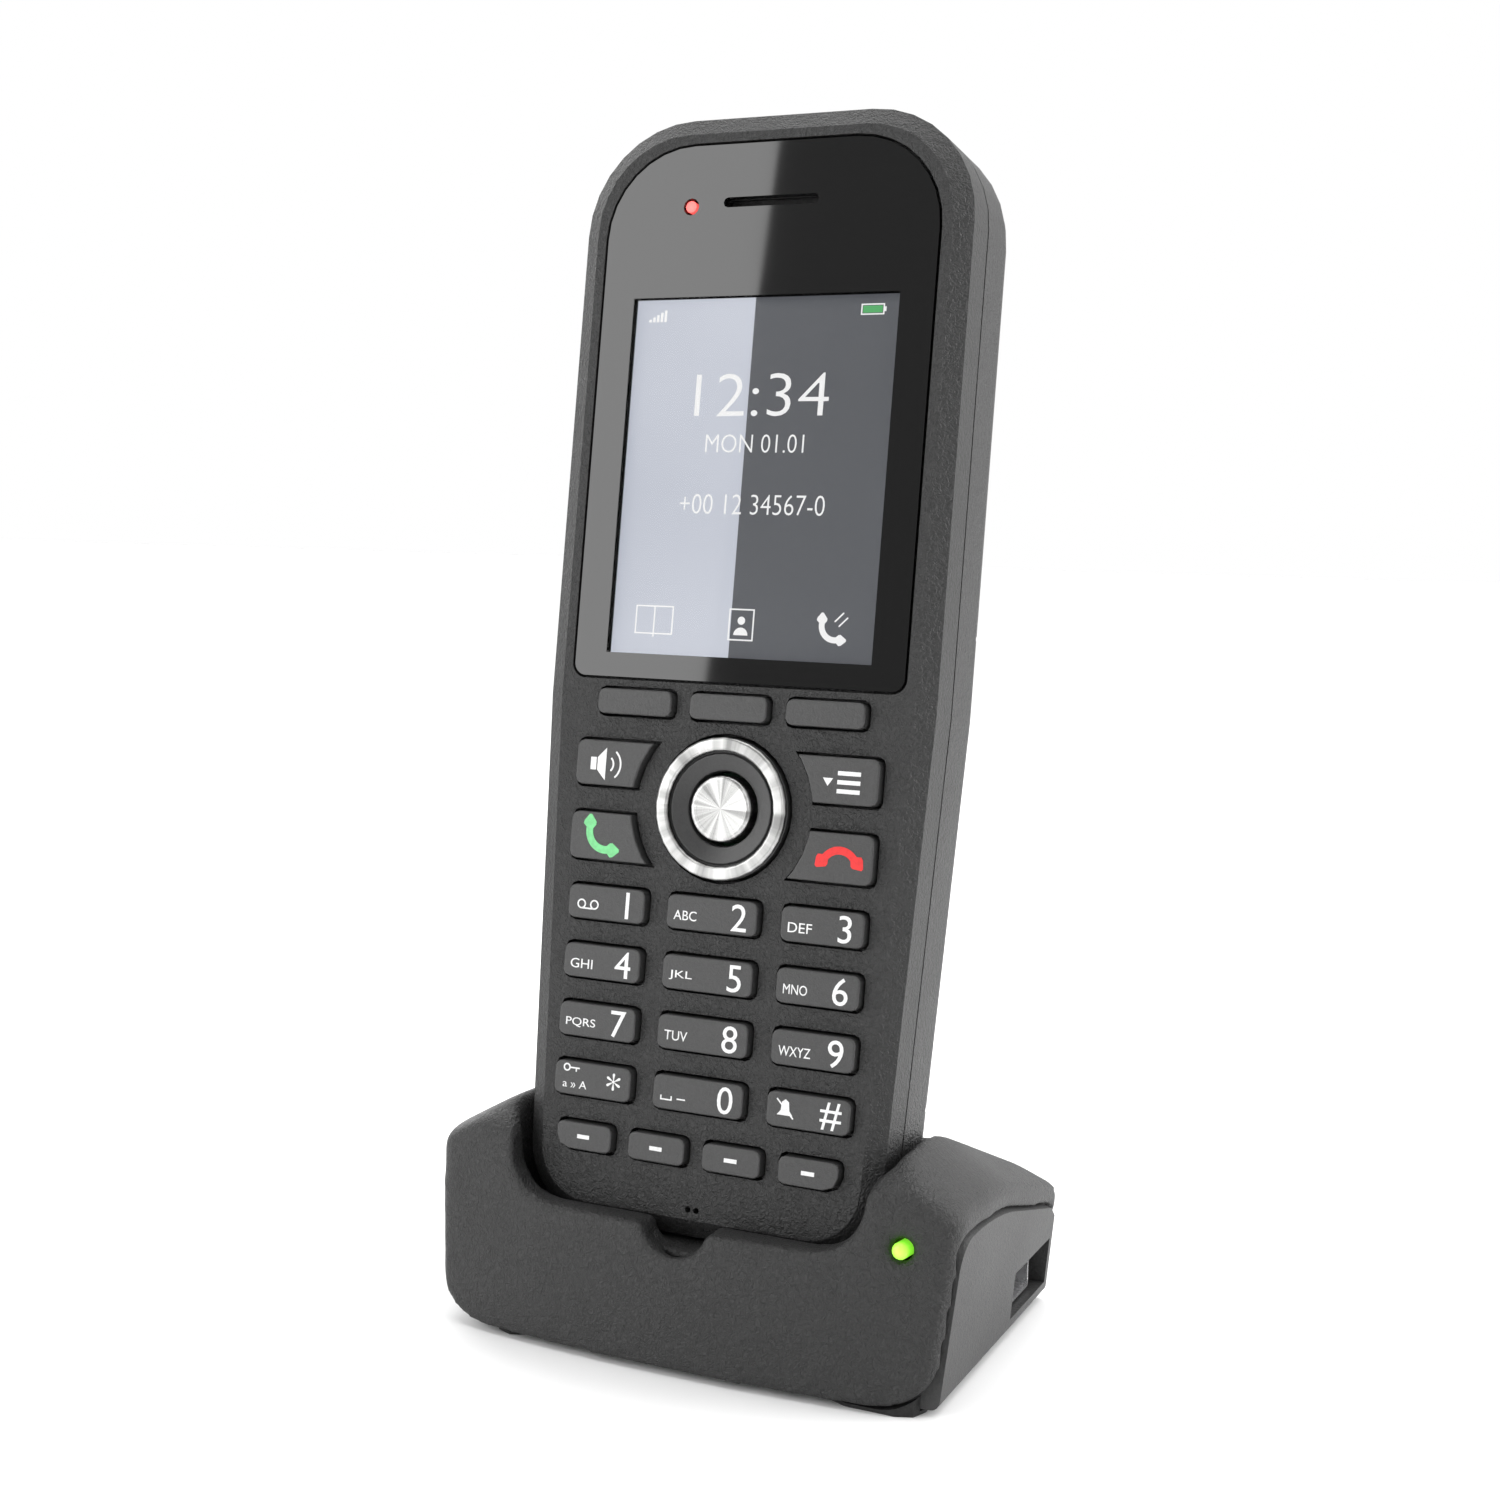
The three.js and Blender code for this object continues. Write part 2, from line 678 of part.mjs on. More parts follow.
// Plan view: a front that bows out in the middle, leaning back as it rises.
function frontPrismBowed() {
  const bow = new THREE.Shape();
  bow.moveTo(tall, tall);
  bow.lineTo(-tall, tall);
  const reach = Math.asin(tall / frontBowRadius);
  bow.absarc(0, frontBowRadius, frontBowRadius, 1.5 * Math.PI - reach, 1.5 * Math.PI + reach, false);
  bow.closePath();
  const prism = slab(bow, 0, 2 * tall, 11).translate(0, 0, -tall);
  return solid(sheared(prism, 0, frontSlope, 0).translate(0, baseFront, footHeight));
}

// The wedge that the chamfer between the front and one side takes away.
function frontChamfer(side) {
  const edge = baseHalf - frontChamferWidth;
  const back = edge * edge / (2 * frontBowRadius);
  const reach = 6;
  const wedge = new THREE.Shape();
  wedge.moveTo(side * (edge - reach * frontChamferWidth), back - reach * frontChamferDepth);
  wedge.lineTo(side * (edge + reach * frontChamferWidth), back + reach * frontChamferDepth);
  wedge.lineTo(side * (edge + reach * frontChamferWidth), back - reach * frontChamferDepth);
  wedge.closePath();
  const prism = slab(wedge, 0, 2 * tall, 1).translate(0, 0, -tall);
  return solid(sheared(prism, side * sideDraft, frontSlope, 0).translate(0, baseFront, footHeight));
}

// Side view of one shoulder: its edge runs level, then falls to the back. The shoulder
// climbs from there towards the middle. It starts behind the front by a given distance.
function shoulder(side, front, rise, slope) {
  const top = footHeight + archHeight + rise;
  const frontAt = (height) => baseFront + front + frontSlope * (height - footHeight);
  const far = baseBack + 12;
  const low = -3 * tall;
  const prism = sidePrism(outline([
    [frontAt(low), low, 0],
    [far, low, 0],
    [far, top - archFall * (far - baseFront - archBend), 0],
    [baseFront + archBend, top, archBendRadius],
    [frontAt(top), top, front > 0 ? slotFrontRadius : archFrontRadius],
  ]), -tall, tall, 8);
  const edge = baseHalf + sideDraft * archHeight;
  return solid(sheared(prism, 0, 0, -side * slope).translate(0, 0, slope * edge));
}

// Side view of the middle: level crest, falling to a short upright back.
function crestPrism(drop) {
  const high = (height) => footHeight + height - drop;
  return solid(sidePrism(outline([
    [baseFront - 25, -tall, 0],
    [baseBack + 12, -tall, 0],
    [baseBack + 12, high(rearEdgeHeight) - 9, 0],
    [baseBack, high(rearEdgeHeight), 2],
    [baseFront + rearBendDistance, high(rearBendHeight), 12],
    [baseFront + crestBackDistance, high(crestBack), 16],
    [baseFront + crestFrontDistance, high(crestFront), crestRadius],
    [baseFront + crestFrontDistance - 80 * crestFrontSlope, high(crestFront) - 80, 0],
  ]), -tall, tall, 8));
}

function baseBody(leftRadius, rightRadius) {
  const body = sidesPrism(0, footHeight, leftRadius, rightRadius)
    .intersect(box(-tall, tall, -tall, baseBack, 0, tall))
    .intersect(frontPrismBowed())
    .intersect(crestPrism(0));
  return [-1, 1].reduce((left, side) => left
    .intersect(shoulder(side, 0, shoulderRise, shoulderSlope))
    .intersect(shoulder(side, 0, 0, shoulderChamferSlope))
    .subtract(frontChamfer(side)), body);
}

// The tray's left edge is rounded like the cover's and its right edge, by the socket, is not.
const frontBody = baseBody(frontCornerRadius, frontCornerRadius);
const squareBody = baseBody(frontCornerRadius, baseCornerRadius);

// What lies behind the cover's front wall and below its rim, out past the sides and the back.
function underCover(gap) {
  const drop = coverRimHeight + gap;
  return [-1, 1].reduce((left, side) => left.intersect(
    shoulder(side, coverSideWall + gap, -drop, shoulderSlope)), crestPrism(drop + shoulderRise));
}

// A prism along the handset's lean, drawn in the handset's own x and z.
function pocketPrism(grow, low, high) {
  const side = pocketHalf + grow;
  const front = pocketFrontGap + grow;
  const back = pocketFrontGap - pocketDepth - grow;
  return toWorld(solid(frontPrism(outline([
    [-side, back, 3.4 + grow],
    [side, back, 3.4 + grow],
    [side, front, 1.5 + grow],
    [-side, front, 1.5 + grow],
  ]), low, high, 2)));
}

// Front opening of the pocket, with the thumb notch in its lower edge.
function frontOpening() {
  const foot = footHeight + rimCut;
  const mouth = outline([
    [-rimHalfWidth - 0.4, foot, rimCorner],
    [rimHalfWidth + 0.4, foot, rimCorner],
    [rimHalfWidth + 1.2, foot + 7, 3],
    [rimHalfWidth + 5.5, foot + 14, 0],
    [-rimHalfWidth - 5.5, foot + 14, 0],
    [-rimHalfWidth - 1.2, foot + 7, 3],
  ]);
  const depth = frontWallDistance + 6;
  const notch = new THREE.CylinderGeometry(notchRadius, notchRadius, depth + 10, 24);
  notch.translate(0, baseFront + depth / 2 - 5, foot + 0.75);
  return solid(frontPrism(mouth, baseFront - 10, baseFront + depth, 3)).add(solid(notch));
}

const pinHoleGrow = 0.35;
const pinFlangeTop = -2.35;

function pinPlace(side) {
  return [side * contactSpacing / 2, -contactDepth];
}

// A round post along the handset's lean, in the handset's frame.
function leaningPost(side, low, high, radius, sides = 12) {
  const [x, z] = pinPlace(side);
  const geometry = new THREE.CylinderGeometry(radius, radius, high - low, sides);
  return toWorld(solid(geometry.translate(x, (low + high) / 2, z)));
}

const cradleScrewPlaces = [[-screwLeft, baseBack - screwFromBack], [screwRight, baseBack - screwFromBack]];

function lightPlace() {
  const x = baseHalf + sideDraft * lightHeight - lightFromSide;
  const bow = x * x / (2 * frontBowRadius);
  return [x, baseFront + bow + frontSlope * lightHeight, footHeight + lightHeight];
}

function lightRod(radius, length, proud, dome) {
  const rod = new THREE.CylinderGeometry(radius, radius, length, 16).translate(0, proud - length / 2, 0);
  let body = solid(rod);
  if (dome) body = body.add(solid(new THREE.SphereGeometry(radius, 16, 8).scale(1, 0.6, 1)));
  const place = new THREE.Matrix4().makeRotationX(Math.PI - Math.atan(frontSlope));
  return body.transform(place.setPosition(...lightPlace()).elements);
}

function cradleCover() {
  const shellBody = frontBody.subtract(underCover(0));
  const tub = pocketPrism(pocketWall, -2, 60).intersect(frontBody);
  const bosses = cradleScrewPlaces.map(([x, y]) => post(
    x, y, screwSeatHeight + clearance, rearBendHeight + footHeight, screwBossRadius, 16));
  const body = bosses.reduce((left, boss) => left.add(boss), shellBody.add(tub));
  return subtractAll(body, [
    pocketPrism(0, -0.4, 80),
    frontOpening(),
    lightRod(lightRadius + clearance, 12, 1, false),
    leaningPost(-1, -4, 2, pinRadius + pinHoleGrow),
    leaningPost(1, -4, 2, pinRadius + pinHoleGrow),
    ...cradleScrewPlaces.map(([x, y]) => post(x, y, 0, 13, 1.5, 12)),
  ]);
}

// ---------------------------------------------------------------- base tray, socket and feet

const socketBack = baseBack - socketFromBack;
const socketFoot = footHeight + 1.9;

function socketRoom(grow, left, right) {
  return box(left, right, socketBack - socketWidth - grow, socketBack + grow,
    socketFoot - grow, socketFoot + socketHeight + grow);
}

function trayBody() {
  return squareBody.intersect(underCover(clearance));
}

function cradleBase() {
  const outer = trayBody();
  const floor = footHeight + baseFloor;
  const room = sidesPrism(baseWall, floor, frontCornerRadius - baseWall, 0.5)
    .intersect(box(-tall, tall, -tall, baseBack - baseWall, 0, tall));
  const plugMouth = box(baseHalf - baseWall - 1, tall, socketBack - socketWidth + 2.8, baseBack - 1,
    socketFoot - 0.3, socketFoot + socketHeight - 0.6);
  const footSeats = footPlaces().map(([x, y]) => post(x, y, 0, footHeight + 0.75, 2.6 + clearance, 16));
  const screwPosts = cradleScrewPlaces.map(([x, y]) => post(x, y, floor - 0.5, screwSeatHeight, 4.2, 20));
  const screwHoles = cradleScrewPlaces.flatMap(([x, y]) => [
    post(x, y, -1, screwSeatHeight - 1.2, 2.7, 16),
    post(x, y, -1, screwSeatHeight + 1, 1.5, 12),
  ]);
  const tray = outer.subtract(room);
  return subtractAll(screwPosts.reduce((left, right) => left.add(right), tray), [
    socketRoom(clearance, socketLeft() - clearance, baseHalf - 0.7),
    plugMouth,
    ...footSeats,
    ...screwHoles,
  ]);
}

function socketRight() {
  return baseHalf - socketInset;
}

function socketLeft() {
  return socketRight() - socketLength;
}

function usbSocket() {
  const shell = socketRoom(0, socketLeft(), socketRight());
  return shell.subtract(socketRoom(-socketWall, socketLeft() + 0.5, socketRight() + 1));
}

function usbTongue() {
  const foot = socketFoot + socketHeight / 2 + 0.2;
  return box(socketLeft() + 0.5 + clearance, socketRight() - 1.9,
    socketBack - socketWidth + 1.2, socketBack - 1.2, foot, foot + 1.8);
}

function footPlaces() {
  const x = baseHalf - 7.3;
  return [
    [-x, baseFront + 6], [x, baseFront + 6], [-x, baseBack - 6], [x, baseBack - 6],
  ];
}

// A corner pad that fills the space under the rounded lower edge.
function rubberFoot([x, y]) {
  const side = Math.sign(x);
  const outer = side * (baseHalf - (side > 0 ? 1.6 : frontCornerRadius));
  const inner = side * (baseHalf - 12);
  const pad = slabSolid(rectangle(Math.min(outer, inner), y - 4, Math.max(outer, inner), y + 4, 2.5), 0, 3);
  const above = frontBody.add(trayBody());
  return pad.subtract(above).subtract(above.translate([0, 0, -clearance])).add(post(x, y, 0.2, footHeight + 0.45, 2.6, 16));
}

function cradleBoard() {
  const foot = footHeight + baseFloor + 1.6;
  return box(-baseHalf + 8, baseHalf - 8, baseFront + 6, socketBack - socketWidth - 1, foot, foot + 1.2);
}

function pinSpring(side) {
  const turns = 4;
  const radius = 1.15;
  const top = pinFlangeTop - 0.6 - clearance - 0.2;
  const length = 3.1;
  const [x, z] = pinPlace(side);
  class Helix extends THREE.Curve {
    getPoint(t) {
      const angle = 2 * Math.PI * turns * t;
      return new THREE.Vector3(x + radius * Math.cos(angle), top - length * t, z + radius * Math.sin(angle));
    }
  }
  const wire = new THREE.Shape().absarc(0, 0, 0.16, 0, 2 * Math.PI);
  const geometry = new THREE.ExtrudeGeometry(wire, {
    steps: turns * 10,
    curveSegments: 3,
    extrudePath: new Helix(),
  });
  return toWorld(solid(geometry));
}

function chargePin(side) {
  return leaningPost(side, pinFlangeTop - 0.6, -0.25, pinRadius)
    .add(leaningPost(side, pinFlangeTop - 0.6, pinFlangeTop, 1.6))
    .add(leaningPost(side, pinFlangeTop - 2.6, pinFlangeTop - 0.5, 0.6, 8));
}

function cradleScrew([x, y]) {
  const seat = screwSeatHeight - 1.2 - clearance;
  return post(x, y, seat - 1.4, seat, 2.4, 16).add(post(x, y, seat - 0.5, screwSeatHeight + 6.5, 1.15, 12));
}

function cradleParts() {
  const names = ['foot_front_left', 'foot_front_right', 'foot_rear_left', 'foot_rear_right'];
  return [
    part('cradle_cover', cradleCover(), 'casing'),
    part('cradle_base', cradleBase(), 'casing'),
    ...footPlaces().map((place, i) => part(names[i], rubberFoot(place), 'rubber')),
    part('cradle_board', cradleBoard(), 'board'),
    part('charge_pin_left', chargePin(-1), 'metal'),
    part('charge_pin_right', chargePin(1), 'metal'),
    part('pin_spring_left', pinSpring(-1), 'steel'),
    part('pin_spring_right', pinSpring(1), 'steel'),
    part('usb_socket', usbSocket(), 'steel'),
    part('usb_tongue', usbTongue(), 'tongue'),
    part('charge_light', lightRod(lightRadius, 5, 0, true), 'greenLight'),
    part('cradle_screw_left', cradleScrew(cradleScrewPlaces[0]), 'steel'),
    part('cradle_screw_right', cradleScrew(cradleScrewPlaces[1]), 'steel'),
  ];
}

// ---------------------------------------------------------------- assembly

const phone = new THREE.Group();
const handset = new THREE.Group();
handset.position.copy(handsetFoot);
handset.rotation.x = leanTurn;
handset.add(...handsetParts());
phone.add(handset, ...cradleParts());

export default phone;
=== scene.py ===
# %% [markdown]
# # A cordless handset standing in its charging base
# The handset leans back in the pocket of a small charging base. Both are moulded in dark plastic
# with a fine leathery texture. The CAD frame gives every part its place, so this lesson adds what
# the eye looks for: softened edges, printed marks, a lit screen, brushed metal, glass and light.

# %% Load the frame
import json
import math
import bpy
import bmesh
from mathutils import Matrix, Vector

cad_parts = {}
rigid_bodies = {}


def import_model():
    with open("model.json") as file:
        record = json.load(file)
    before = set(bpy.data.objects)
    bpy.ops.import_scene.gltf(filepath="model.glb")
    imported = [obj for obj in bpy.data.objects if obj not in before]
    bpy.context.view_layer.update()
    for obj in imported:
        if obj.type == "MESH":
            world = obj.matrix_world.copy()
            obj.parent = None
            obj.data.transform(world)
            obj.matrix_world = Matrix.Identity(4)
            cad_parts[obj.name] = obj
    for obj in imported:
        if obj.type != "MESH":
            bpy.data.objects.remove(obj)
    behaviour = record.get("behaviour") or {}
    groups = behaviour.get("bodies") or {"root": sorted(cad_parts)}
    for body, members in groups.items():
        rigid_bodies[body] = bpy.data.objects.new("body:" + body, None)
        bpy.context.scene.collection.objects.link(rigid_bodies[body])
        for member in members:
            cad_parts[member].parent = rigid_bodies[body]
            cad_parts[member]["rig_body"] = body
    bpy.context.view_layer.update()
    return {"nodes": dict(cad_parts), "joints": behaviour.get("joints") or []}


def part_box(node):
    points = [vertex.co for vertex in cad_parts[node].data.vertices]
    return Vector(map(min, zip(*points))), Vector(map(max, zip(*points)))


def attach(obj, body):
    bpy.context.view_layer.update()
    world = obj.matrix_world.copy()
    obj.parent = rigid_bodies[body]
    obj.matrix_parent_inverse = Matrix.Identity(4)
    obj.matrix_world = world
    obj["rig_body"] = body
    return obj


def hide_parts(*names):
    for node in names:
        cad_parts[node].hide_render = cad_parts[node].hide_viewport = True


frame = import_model()
nodes = frame["nodes"]
MM = 0.001
print("nodes loaded:", len(nodes))

# %% [markdown]
# ## The handset's own directions
# Marks and the screen picture are easiest to place on the handset's own front: `u` runs to the
# right, `v` runs up the handset and `w` comes out of the front. The lift joint already says which
# way is up the handset, so the other two directions follow from it.

# %% Handset directions
lift = next(joint for joint in frame["joints"] if joint["name"] == "handset_lift")
UP = Vector(lift["axis"]).normalized()
RIGHT = Vector((1, 0, 0))
OUT = RIGHT.cross(UP).normalized()


def along(node, direction):
    points = [direction.dot(vertex.co) for vertex in nodes[node].data.vertices]
    return min(points), max(points)


FOOT = along("front_shell", UP)[0]
FACE = along("display_window", OUT)[1]


def on_handset(u, v, w=0.0):
    """A place given in millimetres on the handset's front, w above the window."""
    return RIGHT * (u * MM) + UP * (FOOT + v * MM) + OUT * (FACE + w * MM)


FRONT_TURN = Matrix((RIGHT, UP, OUT)).transposed().to_4x4()
print("handset foot at", round(FOOT, 5), "front at", round(FACE, 5))

# %% [markdown]
# ## Node helpers
# Every finish is built from a few nodes, so small helpers make and join them. All patterns read
# Object coordinates, because every finished piece sits at the origin and the pattern then stays
# put on the part when it moves.

# %% Node helpers
def new_material(name, colour, roughness, metallic=0.0, specular=0.5):
    material = bpy.data.materials.new(name)
    material.use_nodes = True
    shader = material.node_tree.nodes["Principled BSDF"]
    shader.inputs["Base Color"].default_value = (*colour, 1)
    shader.inputs["Roughness"].default_value = roughness
    shader.inputs["Metallic"].default_value = metallic
    shader.inputs["Specular IOR Level"].default_value = specular
    return material, shader


def node(material, kind, **values):
    made = material.node_tree.nodes.new(kind)
    for key, value in values.items():
        if hasattr(made, key):
            setattr(made, key, value)
        else:
            made.inputs[key.replace("_", " ")].default_value = value
    return made


def join(material, source, target):
    material.node_tree.links.new(source, target)


def object_coordinates(material):
    return node(material, "ShaderNodeTexCoord").outputs["Object"]


def colour_ramp(material, source, low, high, start, stop):
    ramp = node(material, "ShaderNodeValToRGB")
    ramp.color_ramp.elements[0].position = start
    ramp.color_ramp.elements[1].position = stop
    ramp.color_ramp.elements[0].color = (*low, 1)
    ramp.color_ramp.elements[1].color = (*high, 1)
    join(material, source, ramp.inputs["Fac"])
    return ramp.outputs["Color"]


def grey(value):
    return (value, value, value)


# %% [markdown]
# ## Leathery plastic
# The mould for a phone case is etched, so the plastic comes out with low winding bumps about half
# a millimetre apart. Two noises give that: a warped one for the winding bumps and a finer one for
# the grain between them. The bumps also catch the light unevenly, so the roughness varies too.

# %% Textured plastic
def etched_plastic(name, colour, roughness, bump, pattern=2300.0, spread=0.3):
    material, shader = new_material(name, colour, roughness, specular=0.5)
    place = object_coordinates(material)
    winding = node(material, "ShaderNodeTexNoise", Scale=pattern, Detail=2.0, Distortion=1.2)
    fine = node(material, "ShaderNodeTexNoise", Scale=pattern * 3.1, Detail=2.0)
    patchy = node(material, "ShaderNodeTexNoise", Scale=60.0, Detail=3.0)
    for texture in (winding, fine, patchy):
        join(material, place, texture.inputs["Vector"])
    low = tuple(c * (1 - spread) for c in colour)
    high = tuple(c * (1 + spread) for c in colour)
    tint = colour_ramp(material, winding.outputs["Fac"], low, high, 0.35, 0.65)
    join(material, tint, shader.inputs["Base Color"])
    rough = node(material, "ShaderNodeMapRange", To_Min=roughness - 0.06, To_Max=roughness + 0.08)
    join(material, patchy.outputs["Fac"], rough.inputs["Value"])
    join(material, rough.outputs["Result"], shader.inputs["Roughness"])
    grain = node(material, "ShaderNodeBump", Strength=bump * 0.6, Distance=0.00005)
    join(material, fine.outputs["Fac"], grain.inputs["Height"])
    waves = node(material, "ShaderNodeBump", Strength=bump, Distance=0.00032)
    join(material, winding.outputs["Fac"], waves.inputs["Height"])
    join(material, grain.outputs["Normal"], waves.inputs["Normal"])
    join(material, waves.outputs["Normal"], shader.inputs["Normal"])
    return material


casing = etched_plastic("handset_casing", grey(0.014), 0.5, 0.8)
rear_casing = etched_plastic("rear_casing", grey(0.018), 0.46, 0.8)
base_cover = etched_plastic("base_cover", grey(0.016), 0.48, 0.9)
base_panel = etched_plastic("base_side_panel", grey(0.03), 0.5, 0.35, 2600.0, 0.15)
key_plastic = etched_plastic("key_plastic", grey(0.042), 0.42, 0.2, 3200.0, 0.12)
rubber = etched_plastic("soft_rubber", grey(0.012), 0.75, 0.3, 2200.0)
print("plastics:", casing.name, base_cover.name, base_panel.name, key_plastic.name)

# %% [markdown]
# ## Softened copies of the CAD solids
# A moulded part has no razor edges: each one is rounded by a few tenths of a millimetre and shows
# as a thin bright line. The CAD solids keep sharp edges to stay light, so a visible solid is
# copied, its loose triangles are merged, flat areas are dissolved, hollow outlines are cut into
# convex faces and a Bevel modifier rounds the edges that are left. Normals weighted by area then
# keep the large faces flat in the light. The CAD node is hidden behind its softer copy.

# %% Softened copies
MERGE_DISTANCE = 0.000002
FLAT_ANGLE = math.radians(0.6)  # faces that meet flatter than this are one face
BEVEL_ANGLE = math.radians(28)
SMOOTH_ANGLE = math.radians(35)


def select_only(thing):
    bpy.ops.object.select_all(action="DESELECT")
    thing.select_set(True)
    bpy.context.view_layer.objects.active = thing


def paint(thing, material):
    thing.data.materials.clear()
    thing.data.materials.append(material)


def merged_copy(node_name):
    """A copy of a CAD node with its corners merged, left in edit mode with all selected."""
    piece = bpy.data.objects.new("soft_" + node_name, nodes[node_name].data.copy())
    bpy.context.scene.collection.objects.link(piece)
    select_only(piece)
    bpy.ops.object.mode_set(mode="EDIT")
    bpy.ops.mesh.select_all(action="SELECT")
    bpy.ops.mesh.remove_doubles(threshold=MERGE_DISTANCE)
    return piece


def softened(node_name, width, material, segments):
    source = nodes[node_name]
    piece = merged_copy(node_name)
    bpy.ops.mesh.dissolve_limited(angle_limit=FLAT_ANGLE)
    bpy.ops.mesh.vert_connect_concave()
    bpy.ops.object.mode_set(mode="OBJECT")
    edge = piece.modifiers.new("round_edges", "BEVEL")
    edge.width = width * MM
    edge.segments = segments
    edge.limit_method = "ANGLE"
    edge.angle_limit = BEVEL_ANGLE
    edge.miter_outer = "MITER_ARC"
    edge.use_clamp_overlap = True
    bpy.ops.object.modifier_apply(modifier=edge.name)
    paint(piece, material)
    select_only(piece)
    bpy.ops.object.shade_smooth_by_angle(angle=SMOOTH_ANGLE)
    even = piece.modifiers.new("even_shading", "WEIGHTED_NORMAL")
    even.keep_sharp = True
    bpy.ops.object.modifier_apply(modifier=even.name)
    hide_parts(node_name)
    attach(piece, source["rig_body"])
    return piece


soft_parts = [
    softened("front_shell", 0.35, casing, 3),
    softened("rear_shell", 0.35, rear_casing, 3),
    softened("battery_door", 0.25, rear_casing, 2),
    softened("cradle_base", 0.25, base_panel, 2),
]
for foot_name in ("foot_front_left", "foot_front_right", "foot_rear_left", "foot_rear_right"):
    soft_parts.append(softened(foot_name, 0.15, rubber, 2))
print("softened:", {piece.name: len(piece.data.polygons) for piece in soft_parts})

# %% [markdown]
# ## The base's cover
# The cover is the softest shape: its front rolls over into the top and the pocket has a thick
# round lip, with no line between them. A bevel would stop at each line, so the cover's copy is
# remeshed into small even squares and smoothed, a little all over and much more where the front
# meets the top. Flat areas stay flat, because smoothing moves a point only where the form bends.

# %% Cover
def melted(node_name, material, square, touches, calm, zone, zone_touches):
    source = nodes[node_name]
    piece = merged_copy(node_name)
    bpy.ops.object.mode_set(mode="OBJECT")
    squares = piece.modifiers.new("even_squares", "REMESH")
    squares.mode = "VOXEL"
    squares.voxel_size = square * MM
    bpy.ops.object.modifier_apply(modifier=squares.name)
    for label, count, share in (("all_over", touches, calm), ("blend", zone_touches, zone)):
        group = piece.vertex_groups.new(name=label)
        for vertex in piece.data.vertices:
            group.add([vertex.index], share(vertex.co), "REPLACE")
        smooth = piece.modifiers.new(label, "SMOOTH")
        smooth.factor = 0.5
        smooth.iterations = count
        smooth.vertex_group = label
        bpy.ops.object.modifier_apply(modifier=smooth.name)
    paint(piece, material)
    bpy.ops.object.shade_smooth()
    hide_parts(node_name)
    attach(piece, source["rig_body"])
    return piece


cover_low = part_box("cradle_cover")[0]
BLEND_FOOT = 15  # mm above the table where the blend starts
BLEND_DEPTH = 14  # mm back from the cover's front where it ends
POCKET_HALF = 21  # mm either side of the middle, which is left alone for the pocket


def front_roll(place):
    """How strongly a place belongs to the blend between the cover's front and its top."""
    back = (place.y - cover_low.y) / MM
    if place.z < BLEND_FOOT * MM or back > BLEND_DEPTH or abs(place.x) < POCKET_HALF * MM:
        return 0.0
    return min(1.0, (place.z / MM - BLEND_FOOT) / 2, (BLEND_DEPTH - back) / 3,
               (abs(place.x) / MM - POCKET_HALF) / 1.5)


light_low, light_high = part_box("charge_light")
LIGHT_RADIUS = 0.9
LIGHT_ROOM = 1.6  # mm round the light that is smoothed least
LIGHT_TIP = Vector((
    (light_low.x + light_high.x) / 2, light_low.y, light_high.z - LIGHT_RADIUS * MM))


def away_from_light(place):
    """The hole for the light keeps its shape, so smoothing fades out round it."""
    distance = (place - LIGHT_TIP).length / MM
    return max(0.12, min(1.0, (distance - LIGHT_ROOM) / 1.5))


cover = melted("cradle_cover", base_cover, 0.37, 14, away_from_light, front_roll, 60)
print("cover faces:", len(cover.data.polygons))

# %% [markdown]
# ## Keys
# Each key is a separate cap with a rounded edge that stands a little proud of the casing. All of
# them are one plastic, a shade lighter than the case and smoother, so they catch more light.

# %% Key caps
key_nodes = [name for name in nodes if name.startswith(("key_", "softkey_", "function_key_"))]
key_nodes += ["speaker_key", "menu_key", "talk_key", "end_key"]
key_nodes = [name for name in key_nodes if name != "keypad_mat"]
key_caps = [softened(name, 0.22, key_plastic, 3) for name in key_nodes]
print("key caps:", len(key_caps))

# %% [markdown]
# ## Turned and brushed metal
# The silver ring is brushed round its circle and the middle key is turned on a lathe, so fine
# rings run round its centre. The distance from the centre drives a wave for the rings, and the
# angle round the centre drives a noise for the rays of light that turned metal shows. These rays
# are a painted reflection: lighter and darker sectors painted into the metal's colour.

# %% Silver finishes
ring_low, ring_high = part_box("nav_ring")
RING_CENTRE = (ring_low + ring_high) / 2


